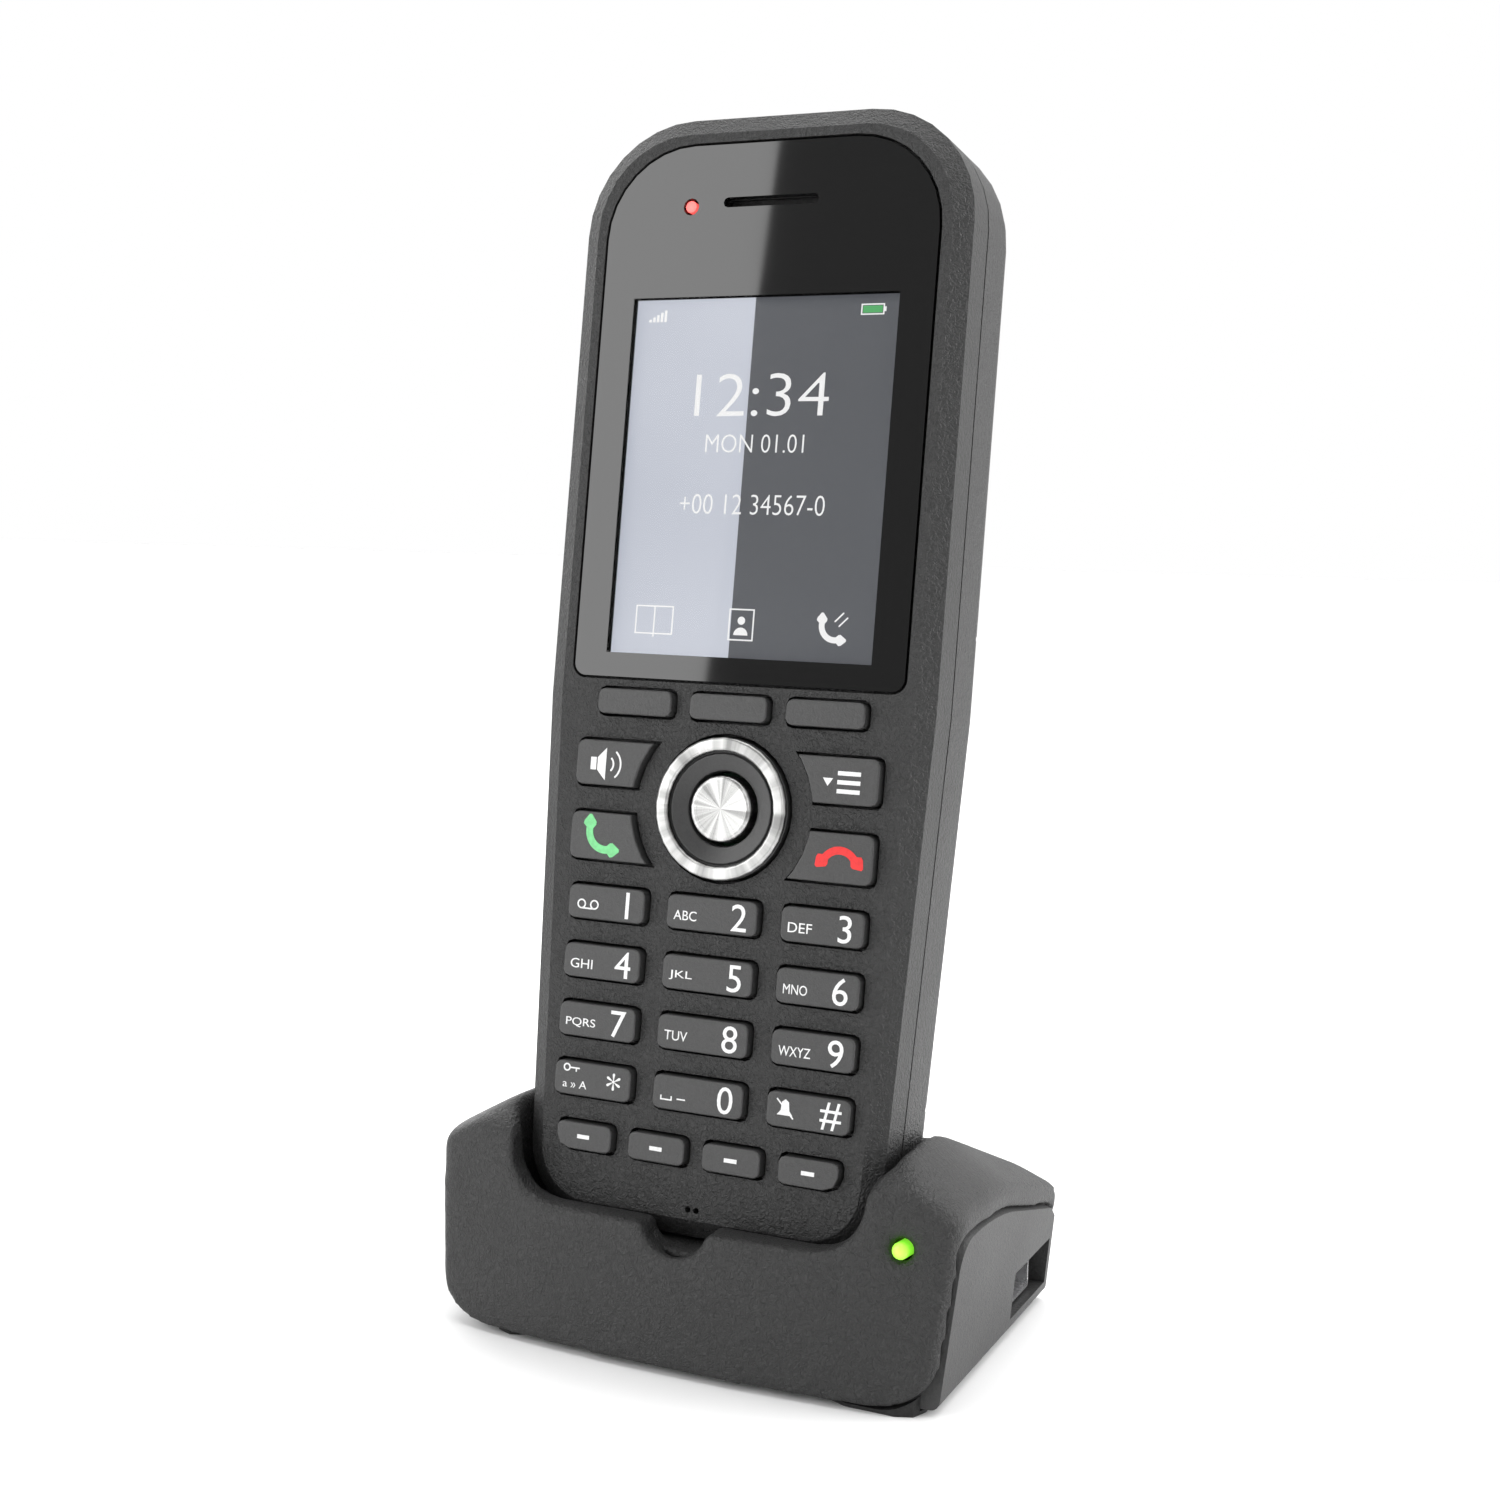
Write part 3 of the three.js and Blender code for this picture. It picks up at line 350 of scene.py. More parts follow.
def turned_metal(name, colour, roughness, rings, strength):
    material, shader = new_material(name, colour, roughness, metallic=1.0)
    place = object_coordinates(material)
    centred = node(material, "ShaderNodeMapping", vector_type="TEXTURE")
    centred.inputs["Location"].default_value = RING_CENTRE
    centred.inputs["Rotation"].default_value = FRONT_TURN.to_3x3().to_euler()
    join(material, place, centred.inputs["Vector"])
    split = node(material, "ShaderNodeSeparateXYZ")
    join(material, centred.outputs["Vector"], split.inputs["Vector"])
    flat = node(material, "ShaderNodeCombineXYZ")
    join(material, split.outputs["X"], flat.inputs["X"])
    join(material, split.outputs["Y"], flat.inputs["Y"])
    radius = node(material, "ShaderNodeVectorMath", operation="LENGTH")
    join(material, flat.outputs["Vector"], radius.inputs[0])
    fine = node(material, "ShaderNodeTexNoise", noise_dimensions="1D", Scale=rings, Detail=3.0)
    join(material, radius.outputs["Value"], fine.inputs["W"])
    angle = node(material, "ShaderNodeMath", operation="ARCTAN2")
    join(material, split.outputs["Y"], angle.inputs[0])
    join(material, split.outputs["X"], angle.inputs[1])
    rays = node(material, "ShaderNodeTexNoise", noise_dimensions="1D", Scale=2.4, Detail=4.0)
    join(material, angle.outputs["Value"], rays.inputs["W"])
    # painted reflection: the rays of light are painted into the base colour as darker and lighter
    # sectors round the centre
    low = tuple(c * 0.42 for c in colour)
    tint = colour_ramp(material, rays.outputs["Fac"], low, colour, 0.36, 0.62)
    join(material, tint, shader.inputs["Base Color"])
    rough = node(material, "ShaderNodeMapRange", To_Min=roughness - 0.08, To_Max=roughness + 0.1)
    join(material, fine.outputs["Fac"], rough.inputs["Value"])
    join(material, rough.outputs["Result"], shader.inputs["Roughness"])
    grooves = node(material, "ShaderNodeBump", Strength=strength, Distance=0.00002)
    join(material, fine.outputs["Fac"], grooves.inputs["Height"])
    join(material, grooves.outputs["Normal"], shader.inputs["Normal"])
    return material


ring_metal = turned_metal("brushed_ring", (0.62, 0.62, 0.61), 0.34, 9000.0, 0.3)
turned_key = turned_metal("turned_key", (0.66, 0.66, 0.65), 0.3, 12000.0, 0.4)
dish = etched_plastic("ring_dish", grey(0.03), 0.36, 0.08, 3000.0, 0.1)
softened("nav_ring", 0.22, ring_metal, 3)
softened("ok_key", 0.3, turned_key, 3)
softened("nav_rocker", 0.2, dish, 3)
print("ring centre", tuple(round(v, 4) for v in RING_CENTRE))

# %% [markdown]
# ## Plain metal, board and small inner parts
# The screws, contacts and the socket's shell are pressed or plated metal with faint scratches.
# The parts inside the case are only seen through gaps, but each still gets its own finish.

# %% Metals and inner parts
def scratched_metal(name, colour, roughness):
    material, shader = new_material(name, colour, roughness, metallic=1.0)
    place = object_coordinates(material)
    stretch = node(material, "ShaderNodeMapping")
    stretch.inputs["Scale"].default_value = (1.0, 14.0, 1.0)
    join(material, place, stretch.inputs["Vector"])
    streaks = node(material, "ShaderNodeTexNoise", Scale=700.0, Detail=3.0)
    join(material, stretch.outputs["Vector"], streaks.inputs["Vector"])
    rough = node(material, "ShaderNodeMapRange", To_Min=roughness - 0.07, To_Max=roughness + 0.12)
    join(material, streaks.outputs["Fac"], rough.inputs["Value"])
    join(material, rough.outputs["Result"], shader.inputs["Roughness"])
    bumps = node(material, "ShaderNodeBump", Strength=0.12, Distance=0.00002)
    join(material, streaks.outputs["Fac"], bumps.inputs["Height"])
    join(material, bumps.outputs["Normal"], shader.inputs["Normal"])
    return material


steel = scratched_metal("socket_steel", (0.75, 0.75, 0.76), 0.25)
gold = scratched_metal("contact_gold", (0.8, 0.6, 0.3), 0.28)
tongue = etched_plastic("socket_tongue", grey(0.55), 0.45, 0.1, 2500.0, 0.05)
board = etched_plastic("circuit_board", (0.01, 0.08, 0.03), 0.4, 0.1, 900.0, 0.3)
silicone = etched_plastic("grey_silicone", grey(0.12), 0.6, 0.1, 1800.0, 0.1)
cell_wrap = etched_plastic("battery_wrap", (0.02, 0.06, 0.16), 0.35, 0.05, 400.0, 0.1)
mesh_black = etched_plastic("speaker_mesh", grey(0.015), 0.7, 0.6, 2400.0, 0.4)
finish_of = {
    "usb_socket": steel, "case_screw_left": steel, "case_screw_right": steel,
    "cradle_screw_left": steel, "cradle_screw_right": steel,
    "charge_contact_left": gold, "charge_contact_right": gold, "battery_terminals": gold,
    "charge_pin_left": gold, "charge_pin_right": gold,
    "pin_spring_left": steel, "pin_spring_right": steel,
    "usb_tongue": tongue, "main_board": board, "cradle_board": board,
    "keypad_mat": silicone, "nav_pad": silicone, "battery_pack": cell_wrap,
    "earpiece": mesh_black, "loudspeaker": mesh_black, "microphone": mesh_black,
}


for name, material in finish_of.items():
    paint(nodes[name], material)
print("inner finishes:", len(finish_of))

# %% [markdown]
# ## Little lamps
# A lamp behind a light pipe glows most in the middle and falls off towards its rim, so the glow
# follows the distance from the middle of the lamp's front.

# %% Lamps
def lamp(name, node_name, centre_colour, rim_colour, strength):
    low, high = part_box(node_name)
    material, shader = new_material(name, rim_colour, 0.3)
    place = object_coordinates(material)
    away = node(material, "ShaderNodeVectorMath", operation="DISTANCE")
    join(material, place, away.inputs[0])
    tip = Vector(((low.x + high.x) / 2, low.y, high.z - (high.x - low.x) / 2))
    away.inputs[1].default_value = tip
    scaled = node(material, "ShaderNodeMath", operation="MULTIPLY")
    scaled.inputs[1].default_value = 1 / (high.x - low.x)
    join(material, away.outputs["Value"], scaled.inputs[0])
    glow = colour_ramp(material, scaled.outputs["Value"], centre_colour, rim_colour, 0.1, 0.75)
    join(material, glow, shader.inputs["Emission Color"])
    shader.inputs["Emission Strength"].default_value = strength
    paint(nodes[node_name], material)
    return material


red_lamp = lamp("red_lamp", "status_light", (1.0, 0.22, 0.2), (0.9, 0.08, 0.07), 1.0)
green_lamp = lamp("green_lamp", "charge_light", (0.62, 1.0, 0.12), (0.2, 0.7, 0.03), 1.0)
print("lamps:", red_lamp.name, green_lamp.name)

# %% [markdown]
# ## The window
# One sheet of black-backed plastic covers the top of the handset. Where the screen is, the black
# backing is left out. A mask on the sheet's own width and height does the same here: inside the
# screen's rectangle the sheet is clear with a faint reflection, and outside it is gloss black.

# %% Window sheet
SCREEN = (-15.85, 62.9, 15.85, 102.5)


def window_material():
    material, shader = new_material("window_gloss", grey(0.004), 0.035, specular=0.7)
    place = object_coordinates(material)
    centre = on_handset((SCREEN[0] + SCREEN[2]) / 2, (SCREEN[1] + SCREEN[3]) / 2)
    upright = node(material, "ShaderNodeMapping", vector_type="TEXTURE")
    upright.inputs["Location"].default_value = centre
    upright.inputs["Rotation"].default_value = FRONT_TURN.to_3x3().to_euler()
    join(material, place, upright.inputs["Vector"])
    split = node(material, "ShaderNodeSeparateXYZ")
    join(material, upright.outputs["Vector"], split.inputs["Vector"])
    halves = {"X": (SCREEN[2] - SCREEN[0]) / 2 * MM, "Y": (SCREEN[3] - SCREEN[1]) / 2 * MM}
    inside = []
    for axis, half in halves.items():
        size = node(material, "ShaderNodeMath", operation="ABSOLUTE")
        join(material, split.outputs[axis], size.inputs[0])
        test = node(material, "ShaderNodeMath", operation="LESS_THAN")
        test.inputs[1].default_value = half
        join(material, size.outputs["Value"], test.inputs[0])
        inside.append(test)
    both = node(material, "ShaderNodeMath", operation="MULTIPLY")
    join(material, inside[0].outputs["Value"], both.inputs[0])
    join(material, inside[1].outputs["Value"], both.inputs[1])
    clear = node(material, "ShaderNodeMapRange", To_Min=1.0, To_Max=0.06)
    join(material, both.outputs["Value"], clear.inputs["Value"])
    join(material, clear.outputs["Result"], shader.inputs["Alpha"])
    smears = node(material, "ShaderNodeTexNoise", Scale=90.0, Detail=2.0)
    join(material, place, smears.inputs["Vector"])
    rough = node(material, "ShaderNodeMapRange", To_Min=0.02, To_Max=0.05)
    join(material, smears.outputs["Fac"], rough.inputs["Value"])
    join(material, rough.outputs["Result"], shader.inputs["Roughness"])
    return material


window_gloss = window_material()
paint(nodes["display_window"], window_gloss)

# %% [markdown]
# ## The lit screen
# The screen is a bright panel a millimetre under the window. Its left part is painted lighter than
# its right part: a painted reflection of glare, put into the panel's glow. Its picture is thin
# flat
# shapes laid on it: bars, a battery, the time, the date, a number and three little symbols. They
# glow by themselves, so they are drawn with an emission finish.

# %% Screen finishes
def glowing(name, colour, strength):
    material, shader = new_material(name, grey(0.01), 0.5)
    shader.inputs["Emission Color"].default_value = (*colour, 1)
    shader.inputs["Emission Strength"].default_value = strength
    return material, shader


# Painted reflection: left of this edge the screen's glow is painted a light blue-grey as glare.
# Right of it the screen keeps its own dim glow.
PAINTED_GLARE_EDGE = -1.45  # mm right of the middle, where the light part of the screen ends
panel_light, panel_shader = glowing("screen_panel_with_painted_glare", (0.075, 0.08, 0.095), 1.0)
panel_place = object_coordinates(panel_light)
panel_split = node(panel_light, "ShaderNodeSeparateXYZ")
join(panel_light, panel_place, panel_split.inputs["Vector"])
past_painted_glare = node(panel_light, "ShaderNodeMath", operation="GREATER_THAN")
past_painted_glare.inputs[1].default_value = PAINTED_GLARE_EDGE * MM
join(panel_light, panel_split.outputs["X"], past_painted_glare.inputs[0])
panel_noise = node(panel_light, "ShaderNodeTexNoise", Scale=30.0, Detail=1.0)
join(panel_light, panel_place, panel_noise.inputs["Vector"])
# painted reflection: the light colour of the glare painted on the screen's left part
painted_glare_half = colour_ramp(
    panel_light, panel_noise.outputs["Fac"],
    (0.50, 0.53, 0.61), (0.60, 0.63, 0.71), 0.3, 0.7)
dark_half = colour_ramp(
    panel_light, panel_noise.outputs["Fac"],
    (0.058, 0.062, 0.073), (0.078, 0.083, 0.096), 0.3, 0.7)
screen_glare_mix = node(panel_light, "ShaderNodeMix", data_type="RGBA")
join(panel_light, past_painted_glare.outputs["Value"], screen_glare_mix.inputs["Factor"])
join(panel_light, painted_glare_half, screen_glare_mix.inputs["A"])
join(panel_light, dark_half, screen_glare_mix.inputs["B"])
join(panel_light, screen_glare_mix.outputs["Result"], panel_shader.inputs["Emission Color"])
white_light, _ = glowing("screen_white", grey(0.95), 1.0)
green_light, _ = glowing("screen_green", (0.07, 0.42, 0.12), 1.0)
paint(nodes["display_module"], panel_light)
SCREEN_DEPTH = (along("display_module", OUT)[1] - FACE) / MM
print("screen panel is", round(-SCREEN_DEPTH, 2), "mm under the window")

# %% [markdown]
# ## Flat marks
# A printed mark is a very thin plate. Each one starts as flat outlines or a text, is laid on the
# handset's front and gets a small thickness. Making them all with one helper keeps them the same
# thickness and facing the same way.

# %% Flat mark helpers
MARK_THICKNESS = 0.03


def lay_flat(thing, u, v, w, name, material, body):
    """Turns a flat drawing in millimetres into a thin plate on the handset's front."""
    thing.name = name
    select_only(thing)
    if thing.type != "MESH":
        bpy.ops.object.convert(target="MESH")
        thing = bpy.context.object
    thing.data.transform(Matrix.Scale(MM, 4))
    turn = Matrix.Translation(on_handset(u, v, w)) @ FRONT_TURN
    thing.data.transform(turn)
    thick = thing.modifiers.new("thickness", "SOLIDIFY")
    thick.thickness = MARK_THICKNESS * MM
    thick.offset = 1.0
    bpy.ops.object.modifier_apply(modifier=thick.name)
    paint(thing, material)
    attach(thing, body)
    return thing


def drawn(outlines, name):
    """A flat mesh from outlines in millimetres, each a list of corners going round."""
    data = bpy.data.meshes.new(name)
    form = bmesh.new()
    for outline in outlines:
        form.faces.new([form.verts.new((x, y, 0)) for x, y in outline])
    form.normal_update()
    for face in form.faces:
        if face.normal.z < 0:
            face.normal_flip()
    bmesh.ops.triangulate(form, faces=form.faces)
    form.to_mesh(data)
    form.free()
    thing = bpy.data.objects.new(name, data)
    bpy.context.scene.collection.objects.link(thing)
    return thing


def bar(left, foot, right, top):
    return [(left, foot), (right, foot), (right, top), (left, top)]


def arc_band(x, y, inner, outer, start, stop, steps=14):
    angles = [math.radians(start + (stop - start) * i / steps) for i in range(steps + 1)]
    out = [(x + outer * math.cos(a), y + outer * math.sin(a)) for a in angles]
    back = [(x + inner * math.cos(a), y + inner * math.sin(a)) for a in reversed(angles)]
    return out + back


def turned_outline(outline, degrees, x=0.0, y=0.0):
    c, s = math.cos(math.radians(degrees)), math.sin(math.radians(degrees))
    return [(x + px * c - py * s, y + px * s + py * c) for px, py in outline]


def frame_outlines(left, foot, right, top, line):
    return [
        bar(left, foot, right, foot + line), bar(left, top - line, right, top),
        bar(left, foot + line, left + line, top - line),
        bar(right - line, foot + line, right, top - line),
    ]


def words(text, height, u, v, w, name, material, body, width=None, thin=False):
    """Text of a given letter height, centred on u with its foot at v, squeezed to a width."""
    bpy.ops.object.select_all(action="DESELECT")
    bpy.ops.object.text_add(location=(0, 0, 0))
    letters = bpy.context.object
    letters.data.body = text
    letters.data.align_x = "CENTER"
    letters.data.offset = -0.012 if thin else 0.0
    letters.data.resolution_u = 4
    letters.data.size = 1.0
    bpy.ops.object.convert(target="MESH")
    letters = bpy.context.object
    xs = [vertex.co.x for vertex in letters.data.vertices]
    ys = [vertex.co.y for vertex in letters.data.vertices]
    tall = height / (max(ys) - min(ys))
    wide = width / (max(xs) - min(xs)) if width else tall
    middle = (max(xs) + min(xs)) / 2
    letters.data.transform(
        Matrix.Diagonal((wide, tall, 1, 1)) @ Matrix.Translation((-middle, -min(ys), 0)))
    return lay_flat(letters, u, v, w, name, material, body)


# %% Screen picture
ON_SCREEN = SCREEN_DEPTH + 0.02


def on_screen(outlines, name, material=white_light):
    return lay_flat(drawn(outlines, name), 0, 0, ON_SCREEN, name, material, "handset")


signal = [bar(-14.4 + 0.47 * i, 100.1, -14.1 + 0.47 * i, 100.4 + 0.25 * i) for i in range(5)]
on_screen(signal, "signal_bars")
battery = frame_outlines(11.07, 100.35, 13.75, 101.55, 0.14) + [bar(13.75, 100.7, 13.95, 101.2)]
on_screen(battery, "battery_outline")
on_screen([bar(11.3, 100.58, 13.52, 101.32)], "battery_charge", green_light)
words("12:34", 4.7, 0.1, 89.5, ON_SCREEN, "screen_time", white_light, "handset", 16.0, True)
words("MON 01.01", 2.0, -0.3, 85.5, ON_SCREEN, "screen_date", white_light, "handset", 11.8, True)
words("+00 12 34567-0", 2.2, -0.1, 78.7, ON_SCREEN, "screen_number", white_light, "handset",
      17.4, True)
book = frame_outlines(-13.2, 65.2, -8.5, 68.4, 0.16) + [bar(-10.93, 64.9, -10.77, 68.4)]
on_screen(book, "screen_book")
card = frame_outlines(-1.7, 64.9, 1.34, 68.4, 0.16)
card += [arc_band(-0.18, 67.1, 0.0, 0.45, 0, 359), arc_band(-0.18, 65.5, 0.0, 0.85, 0, 180)]
on_screen(card, "screen_card")


def handset_symbol(x, y, size, degrees):
    """The bent shape of an old receiver: a bow with a thick block at each end, in one outline."""
    band = arc_band(0, 0, 0.66, 1.0, 38, 142)
    half = len(band) // 2
    outline = [(1.08, 0.5), (1.0, 0.62)] + band[:half] + [(-1.0, 0.62), (-1.08, 0.5)]
    outline += [(-1.12, 0.12), (-1.04, 0.04), (-0.62, 0.1), (-0.54, 0.2)] + band[half:]
    outline += [(0.54, 0.2), (0.62, 0.1), (1.04, 0.04), (1.12, 0.12)]
    return [turned_outline([(px * size, py * size) for px, py in outline], degrees, x, y)]


calls = handset_symbol(10.9, 67.0, 1.9, 135)
calls += [turned_outline(bar(-0.7, -0.08, 0.7, 0.08), 45, 11.3, 67.9)]
calls += [turned_outline(bar(-0.7, -0.08, 0.7, 0.08), 45, 11.8, 67.4)]
on_screen(calls, "screen_calls")
print("screen picture drawn")

# %% [markdown]
# ## Printed keys
# The digits and letters are printed in white on the caps. Each mark rides on its own key, so it
# goes down with the key when it is pressed. A key's place and top come from its CAD box.

# %% Key marks
KEY_TOP_DEPTH = 0.0004  # how far down a cap's points still belong to its top face


def printed_ink(name, colour):
    material, shader = new_material(name, colour, 0.5)
    speck = node(material, "ShaderNodeTexNoise", Scale=2500.0, Detail=2.0)
    join(material, object_coordinates(material), speck.inputs["Vector"])
    thin = tuple(c * 0.86 for c in colour)
    worn = colour_ramp(material, speck.outputs["Fac"], thin, colour, 0.35, 0.6)
    join(material, worn, shader.inputs["Base Color"])
    return material


ink = printed_ink("white_ink", grey(0.82))
green_ink = printed_ink("green_ink", (0.18, 0.62, 0.25))
red_ink = printed_ink("red_ink", (0.75, 0.02, 0.02))


def key_place(name):
    """Left, right, foot and top of a key on the handset's front, and its height, in mm."""
    points = [vertex.co for vertex in nodes[name].data.vertices]
    top_w = max(OUT.dot(p) for p in points)
    face = [p for p in points if OUT.dot(p) > top_w - KEY_TOP_DEPTH]
    us = [RIGHT.dot(p) / MM for p in face]
    vs = [(UP.dot(p) - FOOT) / MM for p in face]
    return min(us), max(us), min(vs), max(vs), (top_w - FACE) / MM


letters_of = {
    "key_2": "ABC", "key_3": "DEF", "key_4": "GHI", "key_5": "JKL", "key_6": "MNO",
    "key_7": "PQRS", "key_8": "TUV", "key_9": "WXYZ",
}
for name in [key for key in key_nodes if key.startswith("key_")]:
    left, right, foot, top, height = key_place(name)
    symbol = {"key_star": "*", "key_hash": "#"}.get(name, name[-1])
    tall = 2.9 if symbol not in "*" else 1.9
    lift_up = foot + (top - foot - tall) / 2 + (0.2 if symbol == "*" else 0.0)
    words(symbol, tall, right - 2.1, lift_up, height, name + "_digit", ink, name)
    if name in letters_of:
        text = letters_of[name]
        wide = 0.92 * len(text)
        words(text, 1.05, left + 0.9 + wide / 2, foot + 1.0, height, name + "_letters", ink, name,
              wide)
print("digits printed")

# %% Key symbols
def on_key(outlines, key, name, material=ink, lift=0.0):
    height = key_place(key)[4] + lift
    return lay_flat(drawn(outlines, name), 0, 0, height, name, material, key)


left, right, foot, top, height = key_place("key_1")
loops = [arc_band(left + 1.7, foot + 1.6, 0.38, 0.55, 0, 359),
         arc_band(left + 3.3, foot + 1.6, 0.38, 0.55, 0, 359),
         bar(left + 1.7, foot + 1.05, left + 3.3, foot + 1.22)]
on_key(loops, "key_1", "key_1_loops")
left, right, foot, top, height = key_place("key_star")
lock = [arc_band(left + 1.5, foot + 3.0, 0.28, 0.45, 0, 359),
        bar(left + 1.95, foot + 2.92, left + 3.1, foot + 3.08),
        bar(left + 2.6, foot + 2.6, left + 2.75, foot + 2.92)]
on_key(lock, "key_star", "key_star_lock")
words("a » A", 0.85, left + 2.6, foot + 0.8, height, "key_star_case", ink, "key_star", 3.0)
left, right, foot, top, height = key_place("key_0")
space = [bar(left + 1.0, foot + 1.0, left + 2.4, foot + 1.15),
         bar(left + 1.0, foot + 1.15, left + 1.15, foot + 1.5),
         bar(left + 2.25, foot + 1.15, left + 2.4, foot + 1.5),
         bar(left + 3.0, foot + 1.2, left + 4.0, foot + 1.35)]
on_key(space, "key_0", "key_0_space")
left, right, foot, top, height = key_place("key_hash")
bell = [(left + 1.3, foot + 1.3), (left + 3.1, foot + 1.3), (left + 2.7, foot + 1.8),
        (left + 2.6, foot + 2.7), (left + 2.2, foot + 3.0), (left + 1.8, foot + 2.7),
        (left + 1.7, foot + 1.8)]
bell_line = turned_outline(bar(-1.4, -0.08, 1.4, 0.08), -45, left + 2.2, foot + 2.0)
on_key([bell], "key_hash", "key_hash_bell")
on_key([bell_line], "key_hash", "key_hash_line", lift=0.02)
for number in range(1, 5):
    name = f"function_key_{number}"
    left, right, foot, top, height = key_place(name)
    middle, centre = (left + right) / 2, (foot + top) / 2
    dash = [bar(middle - 0.75, centre - 0.22, middle + 0.75, centre + 0.22)]
    on_key(dash, name, name + "_dash")
cone = [bar(-16.2, 49.7, -15.5, 51.1),
        [(-15.35, 49.7), (-14.3, 48.6), (-14.3, 52.2), (-15.35, 51.1)],
        arc_band(-14.3, 50.4, 0.85, 1.05, -48, 48), arc_band(-14.3, 50.4, 1.75, 1.95, -50, 50)]
on_key(cone, "speaker_key", "speaker_symbol")
menu = [bar(13.4, 51.1 - 0.95 * i, 16.0, 51.55 - 0.95 * i) for i in range(3)]
menu.append([(11.75, 50.75), (12.9, 50.75), (12.32, 49.9)])
on_key(menu, "menu_key", "menu_symbol")
on_key(handset_symbol(-13.6, 43.0, 2.5, 135), "talk_key", "talk_symbol", green_ink)
on_key(handset_symbol(14.3, 41.2, 2.45, 0), "end_key", "end_symbol", red_ink)
print("symbols printed")

# %% [markdown]
# ## Studio
# The phone stands on a wide pale floor with white all round. A hazy sun and a wide soft light from
# above brighten the top faces. A tall light on the left throws its straight right-hand edge into
# the gloss of the window. A light behind on the right lines the rear shell.

# %% Floor
bpy.ops.object.select_all(action="DESELECT")
bpy.ops.mesh.primitive_plane_add(size=1, location=(0, 0, 0))
floor = bpy.context.object
floor.name = "studio_floor"
floor.data.transform(Matrix.Scale(12, 4))
white_floor, floor_shader = new_material("studio_white", grey(0.86), 0.7, specular=0.2)
cloudy = node(white_floor, "ShaderNodeTexNoise", Scale=4.0, Detail=2.0)
join(white_floor, object_coordinates(white_floor), cloudy.inputs["Vector"])
floor_tint = colour_ramp(white_floor, cloudy.outputs["Fac"], grey(0.85), grey(0.87), 0.3, 0.7)
join(white_floor, floor_tint, floor_shader.inputs["Base Color"])
floor.data.materials.append(white_floor)

# %% Camera
EYE = on_handset(93.95, 50.03, 199.86)
LOOK_RIGHT, LOOK_DOWN, LOOK_AHEAD = (
    Vector((0.90726, 0.07780, -0.41332)),
    Vector((0.06498, -0.99687, -0.04499)),
    Vector((-0.41552, 0.01396, -0.90948)),
)
turn = FRONT_TURN.to_3x3()
camera_data = bpy.data.cameras.new("camera")
camera_data.sensor_width = 36
camera_data.lens = 48.97
camera = bpy.data.objects.new("camera", camera_data)
bpy.context.scene.collection.objects.link(camera)
axes = Matrix((turn @ LOOK_RIGHT, -(turn @ LOOK_DOWN), -(turn @ LOOK_AHEAD))).transposed()
camera.matrix_world = Matrix.Translation(EYE) @ axes.to_4x4()
bpy.context.scene.camera = camera
print("camera at", tuple(round(v, 4) for v in EYE))

# %% Lights
TARGET = Vector((0, 0, 0.07))


def soft_light(name, place, width, height, power, target=TARGET):
    data = bpy.data.lights.new(name, "AREA")
    data.shape = "RECTANGLE"
    data.size = width
    data.size_y = height
    data.energy = power
    lamp_object = bpy.data.objects.new(name, data)
    bpy.context.scene.collection.objects.link(lamp_object)
    facing = (target - Vector(place)).to_track_quat("-Z", "Y").to_matrix().to_4x4()
    lamp_object.matrix_world = Matrix.Translation(Vector(place)) @ facing
    return lamp_object


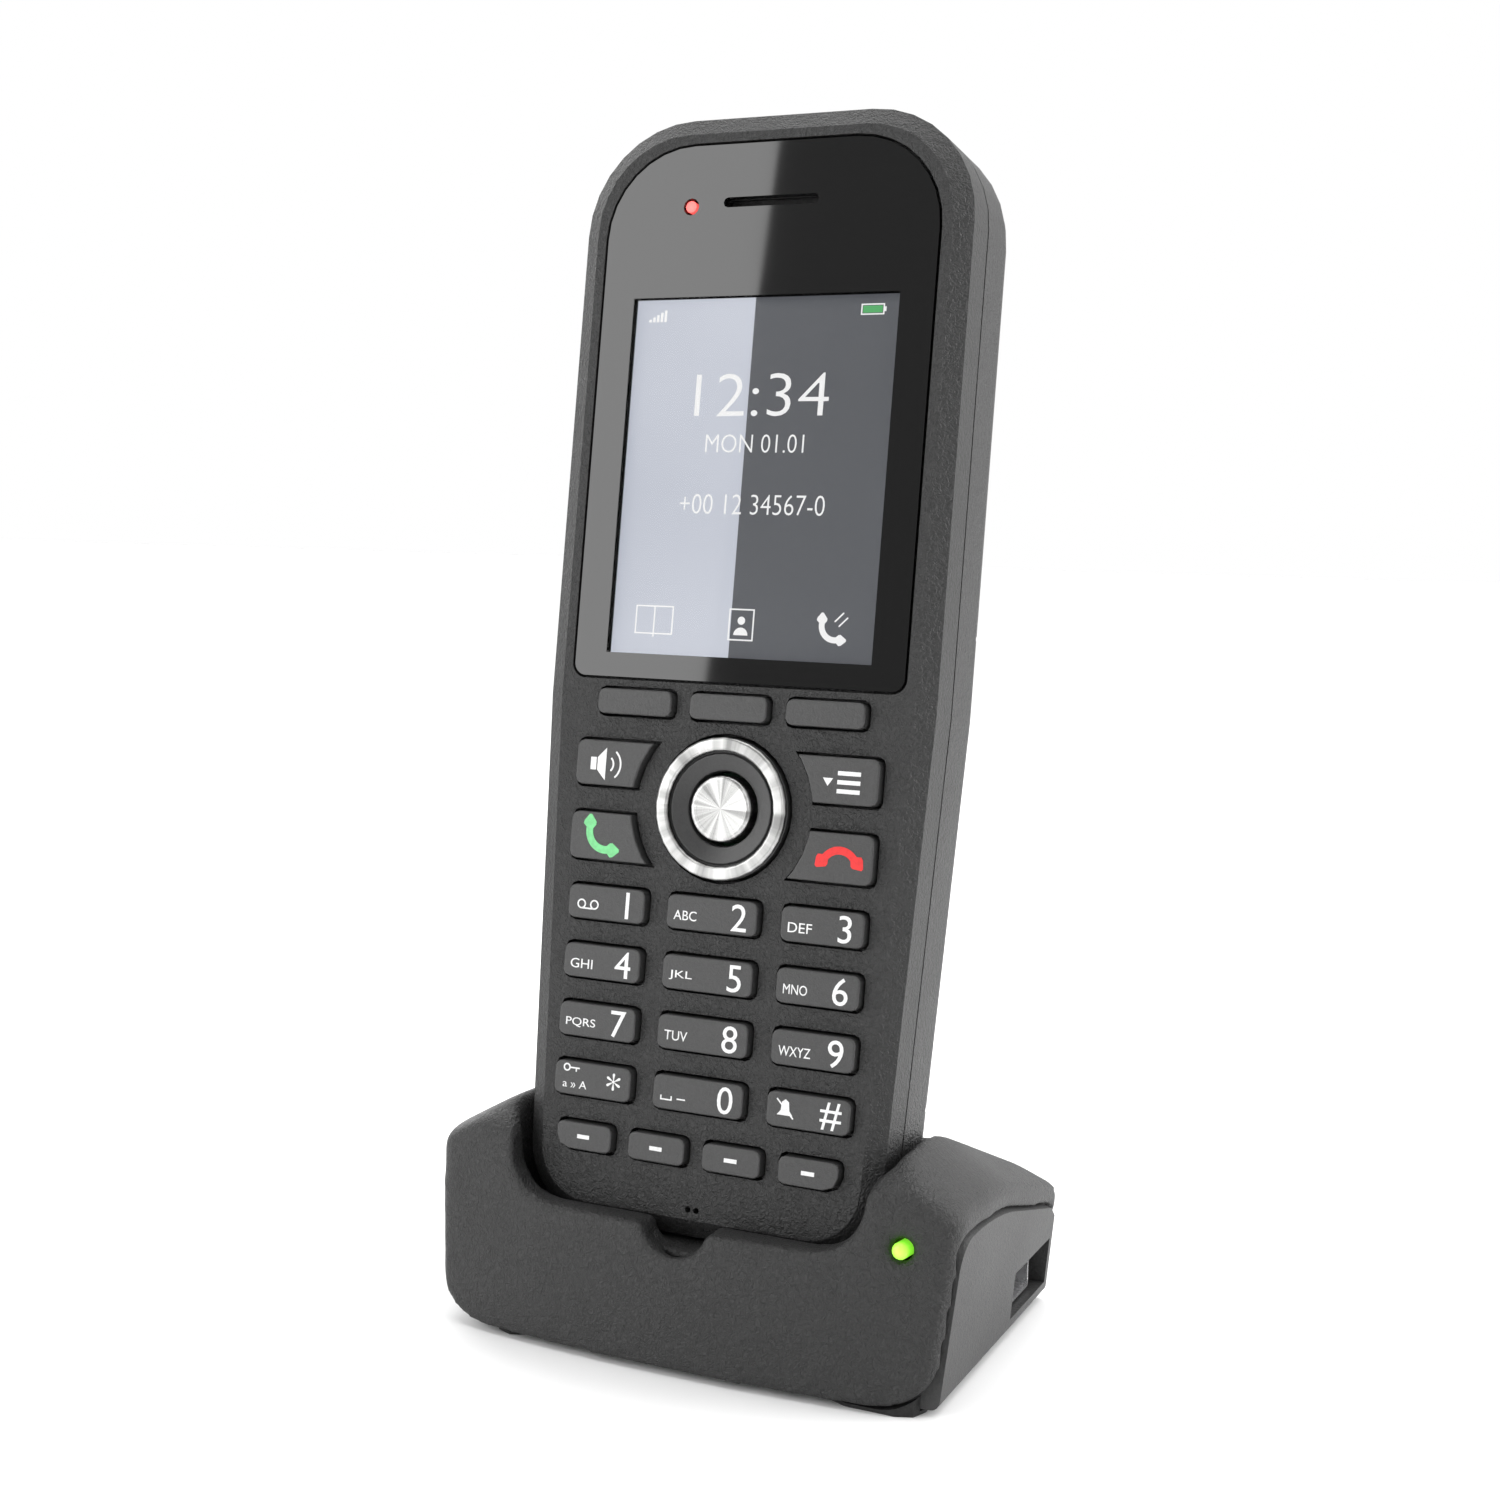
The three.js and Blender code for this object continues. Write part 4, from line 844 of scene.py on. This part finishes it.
sky_data = bpy.data.lights.new("open_sky", "SUN")
sky_data.energy = 1.9
sky_data.angle = math.radians(70)
sky = bpy.data.objects.new("open_sky", sky_data)
bpy.context.scene.collection.objects.link(sky)
sky.matrix_world = Matrix.Rotation(math.radians(-18), 4, "X")
soft_light("overhead", (0.0, 0.15, 0.9), 0.9, 0.7, 2.0)
soft_light("rear_right", (0.6, 0.25, 0.30), 0.25, 0.6, 4.0)
soft_light("rear_left", (-0.55, 0.35, 0.35), 0.3, 0.6, 2.0)
soft_light("front_fill", (0.35, -0.9, 0.5), 0.6, 0.6, 1.5)
SHEET_AZIMUTH = math.radians(26.3)
sheet_distance = 0.8
sheet_width = 0.6
edge = Vector((-math.sin(SHEET_AZIMUTH), -math.cos(SHEET_AZIMUTH), 0))
side = Vector((-edge.y, edge.x, 0))
sheet_centre = edge * sheet_distance - side * (sheet_width / 2) + Vector((0, 0, 0.33))
soft_light("window_sheet", sheet_centre, sheet_width, 1.1, 7.0,
           sheet_centre - edge * sheet_distance)

# %% World
# Behind the phone the world is plain white. What the phone reflects is darker towards the front.
ROOM_FRONT = 0.22
world = bpy.data.worlds.new("studio")
world.use_nodes = True
tree = world.node_tree
seen = tree.nodes["Background"]
seen.inputs["Color"].default_value = (1, 1, 1, 1)
seen.inputs["Strength"].default_value = 1.0
room = tree.nodes.new("ShaderNodeBackground")
direction = tree.nodes.new("ShaderNodeTexCoord")
parts = tree.nodes.new("ShaderNodeSeparateXYZ")
slope = tree.nodes.new("ShaderNodeValToRGB")
slope.color_ramp.elements[0].position = 0.0
slope.color_ramp.elements[0].color = (*grey(ROOM_FRONT), 1)
slope.color_ramp.elements[1].position = 1.0
slope.color_ramp.elements[1].color = (*grey(1), 1)
shift = tree.nodes.new("ShaderNodeMath")
shift.operation = "MULTIPLY_ADD"
shift.inputs[1].default_value = 0.5
shift.inputs[2].default_value = 0.5
tree.links.new(direction.outputs["Generated"], parts.inputs["Vector"])
tree.links.new(parts.outputs["Y"], shift.inputs[0])
tree.links.new(shift.outputs["Value"], slope.inputs["Fac"])
tree.links.new(slope.outputs["Color"], room.inputs["Color"])
rays = tree.nodes.new("ShaderNodeLightPath")
choice = tree.nodes.new("ShaderNodeMixShader")
tree.links.new(rays.outputs["Is Camera Ray"], choice.inputs["Fac"])
tree.links.new(room.outputs["Background"], choice.inputs[1])
tree.links.new(seen.outputs["Background"], choice.inputs[2])
tree.links.new(choice.outputs["Shader"], tree.nodes["World Output"].inputs["Surface"])
bpy.context.scene.world = world
bpy.context.scene.view_settings.view_transform = "Standard"
print("lights placed")
